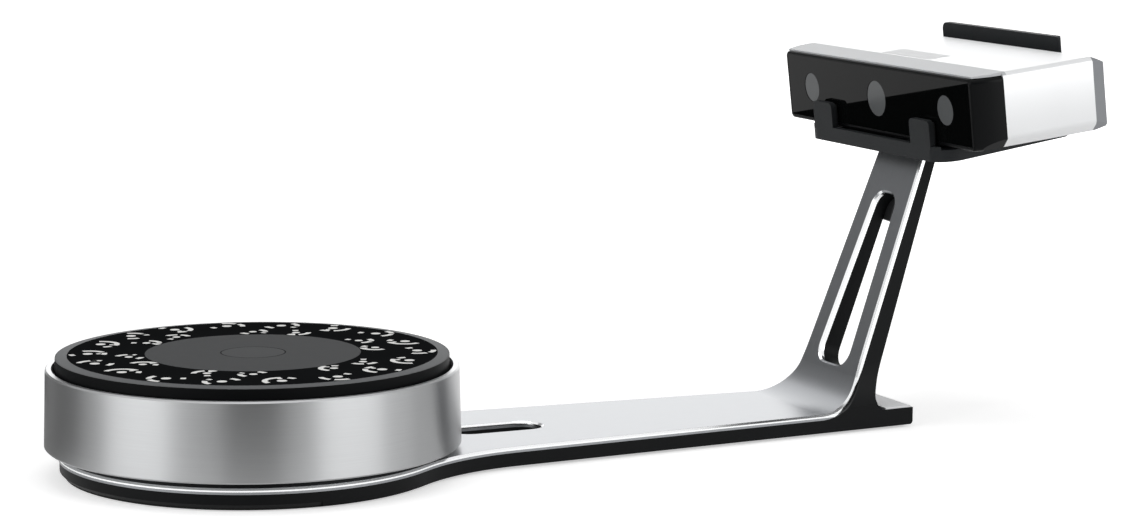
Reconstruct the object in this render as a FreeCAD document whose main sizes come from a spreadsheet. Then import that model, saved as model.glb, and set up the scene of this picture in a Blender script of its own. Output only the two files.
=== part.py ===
import FreeCAD, Part
import os
import re

import Sketcher
from FreeCAD import Placement, Rotation, Vector

# Desktop 3D scanner: a turntable drum and a leaning column on one long bent-plate base,
# with a wide scanner head resting in a cradle on the column.
#
# Frame: origin on the turntable axis at the table, +X from the turntable to the column,
# +Z up, millimetres.  The head and its cradle are drawn level in their own frame (x back,
# y across, z up, zero at the top front edge of the head) and then placed with the head's tilt.

SIZES = {
    # Cast base under the plate
    "base_underside": 1.0,
    "base_top": 8.1,
    "base_disc_inset": 7.5,
    "base_edge_bevel": 1.9,
    "base_side_inset": 0.5,
    "service_radius": 55.0,
    "cover_ledge": 7.0,
    "cover_thickness": 3.0,
    "cover_gap": 0.2,
    "cover_screw_reach": 3.4,
    "foot_length": 29.2,
    "foot_top": 10.3,
    "foot_end_radius": 2.0,
    "foot_fillet": 6.0,
    "inlay_thickness": 0.9,
    "inlay_setback": 11.9,
    "inlay_end_margin": 1.1,
    "inlay_side_margin": 1.2,
    # Rubber feet
    "foot_ring_inset": 2.5,
    "foot_ring_width": 11.0,
    "rear_pad_length": 110.0,
    "rear_pad_setback": 4.5,
    "rear_pad_half_width": 28.0,
    # Bent aluminium plate
    "plate_thickness": 3.0,
    "plate_disc_inset": 7.0,
    "plate_edge_bevel": 1.0,
    "plate_screw_setback": 36.4,
    "plate_screw_spacing": 100.0,
    "plate_screw_offset": 22.0,
    "arm_half_width": 58.6,
    "arm_taper": 0.064,
    "blend_radius": 105.0,
    "arm_slot_setback": 2.0,
    "arm_slot_length": 52.0,
    "arm_slot_half_width": 11.0,
    "bend_radius": 26.5,
    # Leaning column
    "column_front": 321.4,
    "column_lean": 20.33,
    "column_depth": 14.9,
    "column_back_lean": 18.4,
    "column_half_width": 31.8,
    "column_taper": 0.06,
    "flare_top": 35.0,
    "flare_radius": 40.0,
    "flare_reach": 15.4,
    "shoulder_lead": 2.0,
    "shoulder_reach": 12.8,
    "shoulder_radius": 48.0,
    "shoulder_hollow": 20.0,
    "column_slot_low": 33.7,
    "column_slot_margin": 25.7,
    "column_slot_half_width": 18.1,
    "column_slot_taper": 0.0537,
    "column_slot_corner": 9.0,
    "gusset_radius": 7.0,
    "gusset_length": 12.0,
    "gusset_edge": 0.6,
    # Drum
    "neck_height": 3.4,
    "neck_inset": 8.0,
    "neck_width": 11.0,
    "drum_bottom_radius": 105.0,
    "drum_top_radius": 104.0,
    "drum_wall": 3.1,
    "drum_foot_wall": 4.1,
    "drum_height": 39.7,
    "drum_flange": 3.0,
    "drum_flange_width": 21.0,
    "drum_edge_bevel": 0.8,
    "drum_screw_inset": 14.5,
    # Deck inside the drum
    "deck_gap": 4.9,
    "deck_thickness": 3.0,
    "deck_bore": 12.5,
    "deck_screw_inset": 8.0,
    # Bearings and spindle
    "housing_flange_radius": 26.0,
    "housing_flange": 3.0,
    "housing_radius": 18.0,
    "housing_screw_circle": 22.0,
    "bearing_outer": 14.0,
    "bearing_inner": 6.0,
    "bearing_height": 8.0,
    "bearing_lip": 2.0,
    "outer_race_inner": 11.8,
    "inner_race_outer": 8.2,
    "ball_radius": 1.75,
    "ball_circle": 10.0,
    "spindle_flange_radius": 16.0,
    "spindle_flange": 4.0,
    "spindle_end_gap": 1.0,
    # Platter
    "platter_hub_height": 8.25,
    "platter_hub_radius": 20.0,
    "platter_depth": 4.45,
    "platter_skirt_height": 10.25,
    "platter_skirt_thickness": 4.0,
    "platter_gap": 1.95,
    "platter_rim_fall": 0.69,
    "platter_proud": 6.05,
    "platter_rim": 6.05,
    "pad_outer": 54.2,
    "cap_outer": 16.2,
    "top_skin": 0.5,
    "skin_gap": 0.1,
    "platter_screw_circle": 10.0,
    # Drive
    "pulley_setback": 16.0,
    "pulley_rim": 3.0,
    "pulley_width": 8.0,
    "pulley_web": 3.0,
    "pulley_hub_radius": 14.0,
    "pulley_hub_height": 7.0,
    "pulley_hub_gap": 1.0,
    "motor_pulley_radius": 11.0,
    "motor_edge_distance": 25.0,
    "motor_side": 35.0,
    "motor_top_gap": 1.5,
    "motor_boss_radius": 11.0,
    "motor_boss": 1.0,
    "motor_shaft_radius": 2.5,
    "motor_screw_pitch": 26.0,
    "shaft_clearance": 0.05,
    "belt_width": 6.0,
    "belt_thickness": 1.5,
    "belt_gap": 0.3,
    # Control board in the drum
    "board_half_length": 38.0,
    "board_link_gap": 2.0,
    "board_width": 40.0,
    "board_thickness": 1.6,
    "board_standoff": 6.0,
    "standoff_radius": 2.5,
    "standoff_inset": 4.0,
    # Cable sockets
    "link_half_width": 6.0,
    "link_height": 9.0,
    "link_depth": 18.0,
    "link_wall": 1.5,
    "link_level": 26.0,
    "link_inset": 0.6,
    "socket_gap": 0.3,
    # Fasteners
    "m3_radius": 1.5,
    "m3_head_radius": 2.8,
    "m3_head": 1.8,
    "m4_radius": 2.0,
    "m4_head_radius": 3.5,
    "m4_head": 2.4,
    "hole_gap": 0.1,
    # Head placement
    "head_reach": 32.0,
    "head_z": 185.5,
    "head_tilt": 6.6,
    # Head shell, in the head's own frame
    "head_top": 10.2,
    "head_bottom": -29.8,
    "head_half_width": 104.0,
    "head_top_bevel": 2.0,
    "head_low_bevel": 5.0,
    "head_top_round": 2.4,
    "head_low_round": 4.0,
    "shell_thickness": 2.5,
    "sleeve_front": 17.0,
    "sleeve_rear": 72.0,
    "bezel_flare_radius": 29.0,
    "bezel_side_round": 3.0,
    "bezel_edge_round": 1.2,
    "bezel_front_wall": 4.0,
    "bezel_wall": 3.0,
    "brow_front": 1.5,
    "brow_overlap": 2.2,
    "brow_thickness": 1.6,
    "brow_fall": 0.7,
    "brow_inset": 1.5,
    "cap_depth": 7.5,
    "cap_side_fall": 1.5,
    "cap_top_fall": 3.7,
    "cap_foot_fall": 2.0,
    "cap_wall": 2.5,
    # Optics
    "pane_margin": 7.5,
    "pane_rim": 1.6,
    "pane_foot_rim": 2.2,
    "pane_thickness": 1.5,
    "pane_gap": 0.1,
    "optics_height": 19.6,
    "camera_offset": 71.5,
    "camera_window_radius": 8.0,
    "projector_window_radius": 9.75,
    "window_thickness": 1.2,
    "barrel_hole_radius": 10.5,
    "camera_barrel_radius": 8.0,
    "camera_block": 24.0,
    "camera_block_start": 16.0,
    "projector_barrel_radius": 9.5,
    "projector_block_width": 36.0,
    "projector_block_height": 28.0,
    "projector_block_start": 20.0,
    "projector_reach": 10.0,
    "barrel_start": 3.0,
    "lens_inset": 1.2,
    "lens_thickness": 2.0,
    "lens_depth": 1.0,
    "frame_setback": 17.0,
    "frame_thickness": 3.0,
    "frame_side_margin": 7.0,
    "frame_top_margin": 5.2,
    # Electronics in the head
    "board_setback": 22.0,
    "board_side_margin": 14.0,
    "board_foot_margin": 5.5,
    "spacer_radius": 3.0,
    "spacer_inset": 10.0,
    "spacer_edge": 5.0,
    "sink_chip": 1.6,
    "sink_base": 2.0,
    "sink_clearance": 1.8,
    "sink_half_width": 15.0,
    "sink_fin": 1.2,
    "sink_pitch": 4.8,
    "port_height": 18.5,
    "port_lead": 2.4,
    "port_recess": 0.3,
    "usb_centre": -28.0,
    "usb_half_width": 6.0,
    "usb_height": 11.0,
    "jack_centre": -8.0,
    "jack_half_width": 4.5,
    "jack_height": 11.0,
    "jack_bore": 3.0,
    "head_link_centre": 12.0,
    "boss_inset": 6.0,
    "boss_radius": 4.5,
    "boss_length": 12.0,
    "boss_foot": 10.5,
    "boss_head": 9.2,
    # Power button
    "button_centre": 31.0,
    "button_radius": 4.0,
    "button_gap": 0.08,
    "button_proud": 1.1,
    "button_flange_radius": 5.4,
    "button_flange": 1.0,
    "button_flange_gap": 0.3,
    "button_travel": 1.0,
    "switch_half_width": 4.5,
    # Badge and tripod insert
    "badge_start": 20.5,
    "badge_end": 34.0,
    "badge_half_width": 25.0,
    "badge_thickness": 0.9,
    "badge_proud": 0.1,
    "tripod_centre": 50.0,
    "tripod_radius": 5.0,
    "tripod_bore": 2.6,
    "tripod_height": 9.0,
    "tripod_flange_radius": 8.0,
    "tripod_flange": 1.5,
    # Cradle, in the head's own frame
    "cradle_front": -5.2,
    "cradle_floor_thickness": 6.3,
    "rest_height": 1.8,
    "cradle_lip_height": 1.8,
    "cradle_lip": 3.0,
    "cradle_half_width": 74.3,
    "cradle_side_fall": 14.3,
    "cradle_corner": 12.0,
    "cradle_rear_corner": 6.0,
    "hook_height": 13.8,
    "hook_width": 20.4,
    "hook_inset": 12.0,
    "hook_corner": 3.0,
    "wall_gap": 1.5,
    "wall_thickness": 3.0,
    "wall_rise": 6.0,
    "wall_corner": 4.0,
    "port_window_half_width": 42.0,
    "port_window_foot": 6.5,
    "port_window_height": 25.0,
    "cradle_hole_radius": 12.0,
    "pad_inner": 25.0,
    "pad_width": 30.0,
    "front_pad_start": 8.0,
    "rear_row_setback": 21.0,
    "pad_length": 14.0,
    "rest_gap": 0.1,
    "hook_pad_inset": 2.0,
    "hook_pad_fall": 1.6,
    "hook_pad_gap": 0.3,
    "wall_pad_gap": 3.0,
    "wall_pad_width": 11.0,
    "wall_pad_foot": 8.5,
    "wall_pad_height": 25.0,
    # Cradle screws, in the column's own frame
    "cradle_screw_seat": 21.2,
    "cradle_screw_offset": 14.0,
    "cradle_screw_depth": 12.0,
    "cradle_screw_head_low": 2.9,
    "cradle_screw_head": 2.3,
    # Cable clip behind the column
    "clip_low": 113.0,
    "clip_length": 15.0,
    "clip_centre": 13.5,
    "clip_radius": 6.0,
    "clip_bore": 4.0,
    "clip_mouth": 5.0,
    "clip_base": 1.6,
    "clip_half_width": 8.5,
}

# Sizes that follow from others, so that what fits, seats or lines up moves with its neighbour.
FOLLOWS = {
    # Base, plate and column
    "base_disc_radius": "drum_bottom_radius - base_disc_inset",
    "plate_disc_radius": "drum_bottom_radius - plate_disc_inset",
    "cover_radius": "service_radius + cover_ledge",
    "cover_screw_circle": "service_radius + cover_screw_reach",
    "foot_ring_outer": "base_disc_radius - foot_ring_inset",
    "foot_ring_inner": "foot_ring_outer - foot_ring_width",
    "column_back": "column_front + column_depth",
    "foot_end": "column_back + foot_length",
    "inlay_start": "column_back + inlay_setback",
    "inlay_end": "foot_end - inlay_end_margin",
    "rear_pad_end": "foot_end - rear_pad_setback",
    "rear_pad_start": "rear_pad_end - rear_pad_length",
    "arm_slot_start": "drum_bottom_radius + arm_slot_setback",
    "arm_slot_end": "arm_slot_start + arm_slot_length",
    "shoulder_start": "column_front - shoulder_lead",
    "shoulder_end": "column_front + shoulder_reach",
    "flare_start": "column_front - flare_reach",
    "column_slot_high": "(head_z + cradle_underside) / cos(column_lean * 1deg) - column_slot_margin",
    # Working extents of the outlines that are intersected
    "outline_height": "head_z + head_top",
    "outline_end": "foot_end + 3 * column_depth",
    "outline_half_width": "drum_bottom_radius + head_half_width",
    # Drum and deck
    "neck_outer": "drum_bottom_radius - neck_inset",
    "neck_inner": "neck_outer - neck_width",
    "drum_bore_top": "drum_top_radius - drum_wall",
    "drum_bore_low": "drum_bottom_radius - drum_foot_wall",
    "drum_flange_inner": "drum_bottom_radius - drum_flange_width",
    "drum_screw_circle": "drum_bottom_radius - drum_screw_inset",
    "deck_radius": "drum_bore_low - deck_gap",
    "deck_screw_circle": "deck_radius - deck_screw_inset",
    "link_middle": "link_level + link_height / 2 - base_top - plate_thickness - neck_height",
    "drum_fall": "(drum_bottom_radius - drum_top_radius) / drum_height",
    "link_end": "drum_bottom_radius - link_inset - drum_fall * link_middle",
    "board_start": "link_end - link_depth - board_link_gap - board_width",
    # Platter and drive
    "platter_top": "base_top + plate_thickness + neck_height + drum_height + platter_proud",
    "platter_hub_bottom": "platter_top - platter_hub_height",
    "platter_web_bottom": "platter_top - platter_depth",
    "platter_skirt_bottom": "platter_top - platter_skirt_height",
    "platter_edge_height": "platter_top - platter_rim_fall",
    "platter_radius": "drum_bore_top - platter_gap",
    "marker_outer": "platter_radius - platter_rim",
    "motor_distance": "deck_radius - motor_edge_distance",
    "pulley_radius": "motor_distance - pulley_setback",
    # Head
    "head_x": "column_front + head_z * tan(column_lean * 1deg) - head_reach",
    "brow_rear": "sleeve_front + brow_overlap",
    "brow_low": "head_top - brow_thickness",
    "brow_front_top": "head_top - brow_fall",
    "cap_rear": "sleeve_rear + cap_depth",
    "cap_rear_half_width": "head_half_width - cap_side_fall",
    "cap_rear_top": "head_top - cap_top_fall",
    "cap_rear_bottom": "head_bottom + cap_foot_fall",
    "pane_half_width": "head_half_width - pane_margin",
    "pane_top": "brow_low - pane_rim",
    "pane_bottom": "head_bottom + pane_foot_rim",
    "optics_level": "head_bottom + optics_height",
    "frame_start": "sleeve_front + frame_setback",
    "frame_half_width": "head_half_width - frame_side_margin",
    "frame_top": "head_top - frame_top_margin",
    "projector_block_end": "frame_start + projector_reach",
    "main_board_start": "frame_start + board_setback",
    "main_board_half_width": "head_half_width - board_side_margin",
    "main_board_low": "head_bottom + board_foot_margin",
    "main_board_high": "frame_top",
    "spacer_offset": "main_board_half_width - spacer_inset",
    "spacer_low": "main_board_low + spacer_edge",
    "spacer_high": "main_board_high - spacer_edge",
    "sink_start": "main_board_start + board_thickness + sink_chip",
    "sink_depth": "sleeve_rear - sink_clearance - sink_start - sink_base",
    "sink_centre": "sink_half_width - spacer_offset",
    "port_level": "head_bottom + port_height",
    "port_start": "main_board_start + board_thickness + port_lead",
    "port_end": "cap_rear - port_recess",
    "boss_offset": "head_half_width - boss_inset",
    "boss_low": "head_bottom + boss_foot",
    "boss_high": "head_top - boss_head",
    "button_end": "cap_rear + button_proud",
    # Cradle
    "cradle_floor": "head_bottom - rest_height",
    "cradle_underside": "cradle_floor - cradle_floor_thickness",
    "cradle_lip_top": "cradle_floor + cradle_lip_height",
    "cradle_rear_half_width": "cradle_half_width - cradle_side_fall",
    "hook_outer": "cradle_half_width - hook_inset",
    "hook_inner": "hook_outer - hook_width",
    "hook_top": "head_bottom + hook_height",
    "hook_pad_top": "hook_top - hook_pad_fall",
    "wall_start": "cap_rear + wall_gap",
    "wall_top": "head_top + wall_rise",
    "port_window_low": "head_bottom + port_window_foot",
    "port_window_high": "port_window_low + port_window_height",
    "rear_pad_row_start": "wall_start - rear_row_setback",
    "wall_pad_inner": "port_window_half_width + wall_pad_gap",
    "wall_pad_outer": "wall_pad_inner + wall_pad_width",
    "wall_pad_low": "head_bottom + wall_pad_foot",
    "wall_pad_high": "wall_pad_low + wall_pad_height",
}

doc = FreeCAD.newDocument("DesktopScanner")
sheet = doc.addObject("Spreadsheet::Sheet", "Sizes")
for row, (size_name, size_value) in enumerate(SIZES.items(), 1):
    sheet.set("A%d" % row, size_name)
    sheet.set("B%d" % row, str(size_value))
    sheet.setAlias("B%d" % row, size_name)
doc.recompute()

NODES = []


# ---------------------------------------------------------------- sizes and placing

def from_sheet(formula):
    """Point every size name in a formula at the sheet; a size name always has an underscore."""
    def cell(found):
        size_word = found.group(0)
        if size_word in FOLLOWS:
            return "(%s)" % from_sheet(FOLLOWS[size_word])
        return "Sizes." + size_word
    return re.sub(r"\b[a-z][a-z0-9]*(?:_[a-z0-9]+)+\b", cell, formula)


def number(formula):
    """Value of a formula of sheet sizes."""
    return float(sheet.evalExpression(from_sheet(formula)))


def bind(thing, prop, formula):
    """Tie a property to a formula of sheet sizes."""
    thing.setExpression(prop, from_sheet(formula))


def move_to(thing, at):
    """Bind the position of a primitive or a finished piece."""
    for axis, formula in zip("xyz", at):
        if formula != "0":
            bind(thing, "Placement.Base." + axis, formula)
    return thing


def lean(thing, at, angle, back=True):
    """Turn a piece about Y by a sheet angle, tops going back (+X) or forward, and move it."""
    axis = Vector(0, 1, 0) if back else Vector(0, -1, 0)
    thing.Placement = Placement(Vector(), Rotation(axis, 1))
    bind(thing, "Placement.Rotation.Angle", angle)
    return move_to(thing, at)


def keep(label, thing):
    """Make an object a sub-part that is written to a file of its own."""
    thing.Label = label
    NODES.append(thing)
    return thing


def keep_in_head(label, thing):
    """Keep a piece that was drawn in the head's level frame, tilted into place."""
    if thing.TypeId in ("Part::Box", "Part::Cylinder"):
        thing = group(thing.Name + "Level", [thing])
    return keep(label, lean(thing, ("head_x", "0", "head_z"), "head_tilt", back=False))


def polar(radius, degrees):
    """Formulas of a point on a circle about the turntable axis."""
    return "%s * cos(%gdeg)" % (radius, degrees), "%s * sin(%gdeg)" % (radius, degrees)


# ---------------------------------------------------------------- solids

def box(name, x, y, z):
    """Block between pairs of formulas: (low, high) for each axis."""
    block = doc.addObject("Part::Box", name)
    for prop, (low, high) in zip(("Length", "Width", "Height"), (x, y, z)):
        bind(block, prop, "(%s) - (%s)" % (high, low))
    return move_to(block, (x[0], y[0], z[0]))


def wide_box(name, x, half_width, z):
    """Block that is centred across the object."""
    return box(name, x, ("-(%s)" % half_width, half_width), z)


AXES = {
    "X": Rotation(Vector(0, 1, 0), 90),
    "Y": Rotation(Vector(1, 0, 0), -90),
    "Z": Rotation(),
}


def rod(name, radius, at, length, axis="Z"):
    """Cylinder that starts at a point and runs along one axis."""
    cylinder = doc.addObject("Part::Cylinder", name)
    bind(cylinder, "Radius", radius)
    bind(cylinder, "Height", length)
    cylinder.Placement = Placement(Vector(), AXES[axis])
    return move_to(cylinder, at)


def ball(name, radius, at):
    sphere = doc.addObject("Part::Sphere", name)
    bind(sphere, "Radius", radius)
    return move_to(sphere, at)


def outline(name, plane, points):
    """New body with a closed sketch whose corners are bound to pairs of formulas."""
    body = doc.addObject("PartDesign::Body", name)
    sketch = body.newObject("Sketcher::SketchObject", name + "Outline")
    datum = next(item for item in body.Origin.OriginFeatures if item.Role == plane)
    sketch.AttachmentSupport = [(datum, "")]
    sketch.MapMode = "FlatFace"
    corners = [Vector(number(first), number(second), 0) for first, second in points]
    count = len(corners)
    for index in range(count):
        sketch.addGeometry(Part.LineSegment(corners[index], corners[(index + 1) % count]))
    for index in range(count):
        sketch.addConstraint(Sketcher.Constraint("Coincident", index, 2, (index + 1) % count, 1))
    for index, pair in enumerate(points):
        for kind, formula, zero_axis in zip(("DistanceX", "DistanceY"), pair, (-2, -1)):
            if formula == "0":
                sketch.addConstraint(Sketcher.Constraint("PointOnObject", index, 1, zero_axis))
                continue
            made = sketch.addConstraint(Sketcher.Constraint(kind, -1, 1, index, 1, number(formula)))
            constraint_name = "%s%d" % (kind, index)
            sketch.renameConstraint(made, constraint_name)
            bind(sketch, "Constraints." + constraint_name, formula)
    return body, sketch


def prism(name, plane, points, low, high):
    """Outline padded between two levels along the normal of its plane."""
    body, sketch = outline(name, plane, points)
    bind(sketch, "AttachmentOffset.Base.z", low)
    pad = body.newObject("PartDesign::Pad", name + "Pad")
    pad.Profile = sketch
    bind(pad, "Length", "(%s) - (%s)" % (high, low))
    return body


def side_view(name, points, half_width):
    """Outline in the XZ plane padded by the same half width to both sides."""
    return prism(name, "XZ_Plane", points, "-(%s)" % half_width, half_width)


def turned(name, points):
    """Outline of (radius, height) corners turned about the Z axis."""
    body, sketch = outline(name, "XZ_Plane", points)
    revolution = body.newObject("PartDesign::Revolution", name + "Turn")
    revolution.Profile = sketch
    revolution.ReferenceAxis = (sketch, ["V_Axis"])
    revolution.Angle = 360
    return body


def rounded(body, radius, wanted):
    """Round the edges of a body's last feature that pass a test."""
    doc.recompute()
    base = body.Tip
    names = ["Edge%d" % count for count, edge in enumerate(base.Shape.Edges, 1) if wanted(edge)]
    fillet = body.newObject("PartDesign::Fillet", base.Name + "Round")
    fillet.Base = (base, names)
    bind(fillet, "Radius", radius)
    return body


def runs_along(axis):
    """Test for straight edges parallel to an axis."""
    def wanted(edge):
        start, end = (vertex.Point for vertex in edge.Vertexes)
        return abs(abs((end - start).normalize().dot(axis)) - 1) < 1e-6
    return wanted


def passes(x, z):
    """Test for the edge that crosses the side view at a point given by two formulas."""
    spot = Vector(number(x), 0, number(z))

    def wanted(edge):
        middle = edge.CenterOfMass
        return runs_along(Vector(0, 1, 0))(edge) and abs(middle.x - spot.x) + abs(middle.z - spot.z) < 1e-3
    return wanted


def fuse(name, pieces):
    joined = doc.addObject("Part::MultiFuse", name)
    joined.Shapes = pieces
    joined.Refine = True
    return joined


def common(name, pieces):
    shared = doc.addObject("Part::MultiCommon", name)
    shared.Shapes = pieces
    return shared


def cut(name, base, tools):
    """Base without its tools."""
    result = doc.addObject("Part::Cut", name)
    result.Base = base
    result.Tool = tools[0] if len(tools) == 1 else group(name + "Tools", tools)
    return result


def group(name, pieces):
    """Separate solids that share one sub-part."""
    compound = doc.addObject("Part::Compound", name)
    compound.Links = pieces
    return compound


def screw(name, at, radius, head_radius, head, length, head_up=True):
    """Screw along Z whose head seats at a point, with its shank on the other side."""
    x, y, z = at
    head_from = z if head_up else "%s - %s" % (z, head)
    shank_from = "%s - (%s)" % (z, length) if head_up else z
    return fuse(name, [
        rod(name + "Head", head_radius, (x, y, head_from), head),
        rod(name + "Shank", radius, (x, y, shank_from), length),
    ])


# ---------------------------------------------------------------- shared heights

PLATE_TOP = "(base_top + plate_thickness)"
DRUM_LOW = "(base_top + plate_thickness + neck_height)"
DRUM_TOP = "(base_top + plate_thickness + neck_height + drum_height)"
DECK_LOW = "(base_top + plate_thickness + neck_height + drum_flange)"
DECK_TOP = "(base_top + plate_thickness + neck_height + drum_flange + deck_thickness)"
LOWER_BEARING = "(%s + bearing_lip)" % DECK_TOP
SPINDLE_FLANGE_LOW = "(platter_hub_bottom - spindle_flange)"
UPPER_BEARING = "(%s - pulley_hub_height - pulley_hub_gap - bearing_height)" % SPINDLE_FLANGE_LOW
PULLEY_LOW = "(%s - pulley_width)" % SPINDLE_FLANGE_LOW
BELT_LOW = "(%s + (pulley_width - belt_width) / 2)" % PULLEY_LOW
MOTOR_TOP = "(%s - motor_top_gap - motor_boss)" % PULLEY_LOW
BOARD_LOW = "(%s + board_standoff)" % DECK_TOP
SKIN_LOW = "(platter_top - top_skin)"


# ---------------------------------------------------------------- base and plate outlines

# The blend between disc and arm is an arc tangent to both, with its centre outside the plate.
TAPER_SQUARE = "(1 + arm_taper^2)"
BLEND_REACH = "(arm_half_width + blend_radius * sqrt(%s))" % TAPER_SQUARE
BLEND_ROOT = "sqrt(%s * (plate_disc_radius + blend_radius)^2 - %s^2)" % (TAPER_SQUARE, BLEND_REACH)
BLEND_X = "((%s * arm_taper + %s) / %s)" % (BLEND_REACH, BLEND_ROOT, TAPER_SQUARE)
BLEND_Y = "(%s - arm_taper * %s)" % (BLEND_REACH, BLEND_X)

LEAN_SLOPE = "tan(column_lean * 1deg)"
BACK_SLOPE = "tan(column_back_lean * 1deg)"
TILT_SLOPE = "tan(head_tilt * 1deg)"


def column_front(z):
    return "(column_front + %s * %s)" % (z, LEAN_SLOPE)


def plate_back(z):
    return "(column_front + plate_thickness / cos(column_lean * 1deg) + %s * %s)" % (z, LEAN_SLOPE)


def column_back(z):
    return "(column_back + %s * %s)" % (z, BACK_SLOPE)


def plan_view(name, arm, inset):
    """Disc, arm and the two blends between them; the inset narrows disc and blends."""
    pieces = [arm, rod(name + "Disc", "plate_disc_radius - (%s)" % inset, ("0", "0", "0"), "outline_height")]
    for side, sign in (("Left", ""), ("Right", "-")):
        wedge = prism(name + side, "XY_Plane", [
            ("0", "0"),
            (BLEND_X, sign + BLEND_Y),
            ("%s - arm_taper * %s" % (BLEND_X, BLEND_Y), "0"),
        ], "0", "outline_height")
        hollow = rod(name + side + "Blend", "blend_radius + (%s)" % inset,
                     (BLEND_X, sign + BLEND_Y, "0"), "outline_height")
        pieces.append(cut(name + side + "Wedge", wedge, [hollow]))
    return fuse(name, pieces)


def mirrored(points):
    """Plan outline that is the same on both sides, from its points on the +Y side."""
    return points + [(x, "-(%s)" % y) for x, y in reversed(points)]


def mirrored_front(points):
    """Front outline that is the same on both sides, from its points on the +Y side."""
    return points + [("-(%s)" % y, z) for y, z in reversed(points)]


def base_arm():
    """Tapered arm and foot of the casting."""
    return prism("BaseArmPlan", "XY_Plane", mirrored([
        ("0", "arm_half_width - base_side_inset"),
        ("outline_end", "arm_half_width - arm_taper * outline_end - base_side_inset"),
    ]), "0", "outline_height")


def plate_arm():
    """Tapered arm whose sides draw in through a round shoulder to the column's width."""
    column_fall = "(column_taper / %s)" % LEAN_SLOPE
    arm = prism("PlateArmPlan", "XY_Plane", mirrored([
        ("0", "arm_half_width"),
        ("shoulder_start", "arm_half_width - arm_taper * shoulder_start"),
        ("shoulder_end", "column_half_width - %s * (shoulder_end - column_front)" % column_fall),
        ("outline_end", "column_half_width - %s * (outline_end - column_front)" % column_fall),
    ]), "0", "outline_height")
    upright = runs_along(Vector(0, 0, 1))
    rounded(arm, "shoulder_radius", lambda edge: upright(edge) and near_x(edge, "shoulder_start"))
    rounded(arm, "shoulder_hollow", lambda edge: upright(edge) and near_x(edge, "shoulder_end"))
    return arm


def near_x(edge, x):
    return abs(edge.CenterOfMass.x - number(x)) < 1e-3


def column_sides():
    """What lies outside the column's backing: straight sides above, a flare into the foot."""
    tools = []
    taper_root = "sqrt(1 + column_taper^2)"
    at_flare = "(column_half_width - column_taper * flare_top - base_side_inset)"
    at_top = "(column_half_width - column_taper * outline_height - base_side_inset)"
    for side, sign in (("Left", ""), ("Right", "-")):
        tools.append(prism("ColumnSide" + side, "YZ_Plane", [
            (sign + at_flare, "flare_top"),
            (sign + at_top, "outline_height"),
            (sign + "outline_half_width", "outline_height"),
            (sign + "outline_half_width", "flare_top"),
        ], "flare_start", "outline_end"))
        tools.append(rod("ColumnFlare" + side, "flare_radius", (
            "flare_start",
            "%s(%s + flare_radius / %s)" % (sign, at_flare, taper_root),
            "flare_top + flare_radius * column_taper / %s" % taper_root,
        ), "outline_end - flare_start", axis="X"))
    return group("ColumnSides", tools)


def column_slot():
    """Tapered slot with rounded corners, square to the column's front face."""
    low_half = "(column_slot_half_width - column_slot_taper * column_slot_low)"
    high_half = "(column_slot_half_width - column_slot_taper * column_slot_high)"
    slot = prism("ColumnSlot", "YZ_Plane", [
        ("-" + low_half, "column_slot_low"),
        (low_half, "column_slot_low"),
        (high_half, "column_slot_high"),
        ("-" + high_half, "column_slot_high"),
    ], "-bend_radius", "bend_radius")
    rounded(slot, "column_slot_corner", runs_along(Vector(1, 0, 0)))
    return lean(slot, ("column_front", "0", "0"), "column_lean")


def arm_slot():
    return fuse("ArmSlot", [
        wide_box("ArmSlotMiddle",
                 ("arm_slot_start + arm_slot_half_width", "arm_slot_end - arm_slot_half_width"),
                 "arm_slot_half_width", ("0", "flare_top")),
        rod("ArmSlotNearEnd", "arm_slot_half_width",
            ("arm_slot_start + arm_slot_half_width", "0", "0"), "flare_top"),
        rod("ArmSlotFarEnd", "arm_slot_half_width",
            ("arm_slot_end - arm_slot_half_width", "0", "0"), "flare_top"),
    ])


def above_cradle_underside():
    """Everything over the plane that the cradle's underside lies in."""
    return lean(wide_box("AboveColumn", ("-outline_half_width", "outline_half_width"),
                         "outline_half_width", ("0", "outline_half_width")),
                (CRADLE_SEAT_X, "0", CRADLE_SEAT_Z), "head_tilt", back=False)


# World position of the head frame's axis where it meets the cradle's underside.
CRADLE_SEAT_X = "(head_x - cradle_underside * sin(head_tilt * 1deg))"
CRADLE_SEAT_Z = "(head_z + cradle_underside * cos(head_tilt * 1deg))"


def screw_holes(name, count, circle, first_angle, radius, low, high):
    """Ring of upright holes about the turntable axis."""
    holes = []
    for index in range(count):
        x, y = polar(circle, first_angle + index * 360 / count)
        holes.append(rod("%s%d" % (name, index), radius, (x, y, low), "(%s) - (%s)" % (high, low)))
    return holes


PLATE_SCREW_SPOTS = [
    (x, sign + "plate_screw_offset")
    for x in ("column_front - plate_screw_setback - plate_screw_spacing",
              "column_front - plate_screw_setback")
    for sign in ("-", "")
]

sides_of_column = column_sides()
slot_in_column = column_slot()
slot_in_arm = arm_slot()
over_column = above_cradle_underside()


# ---------------------------------------------------------------- base

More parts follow.
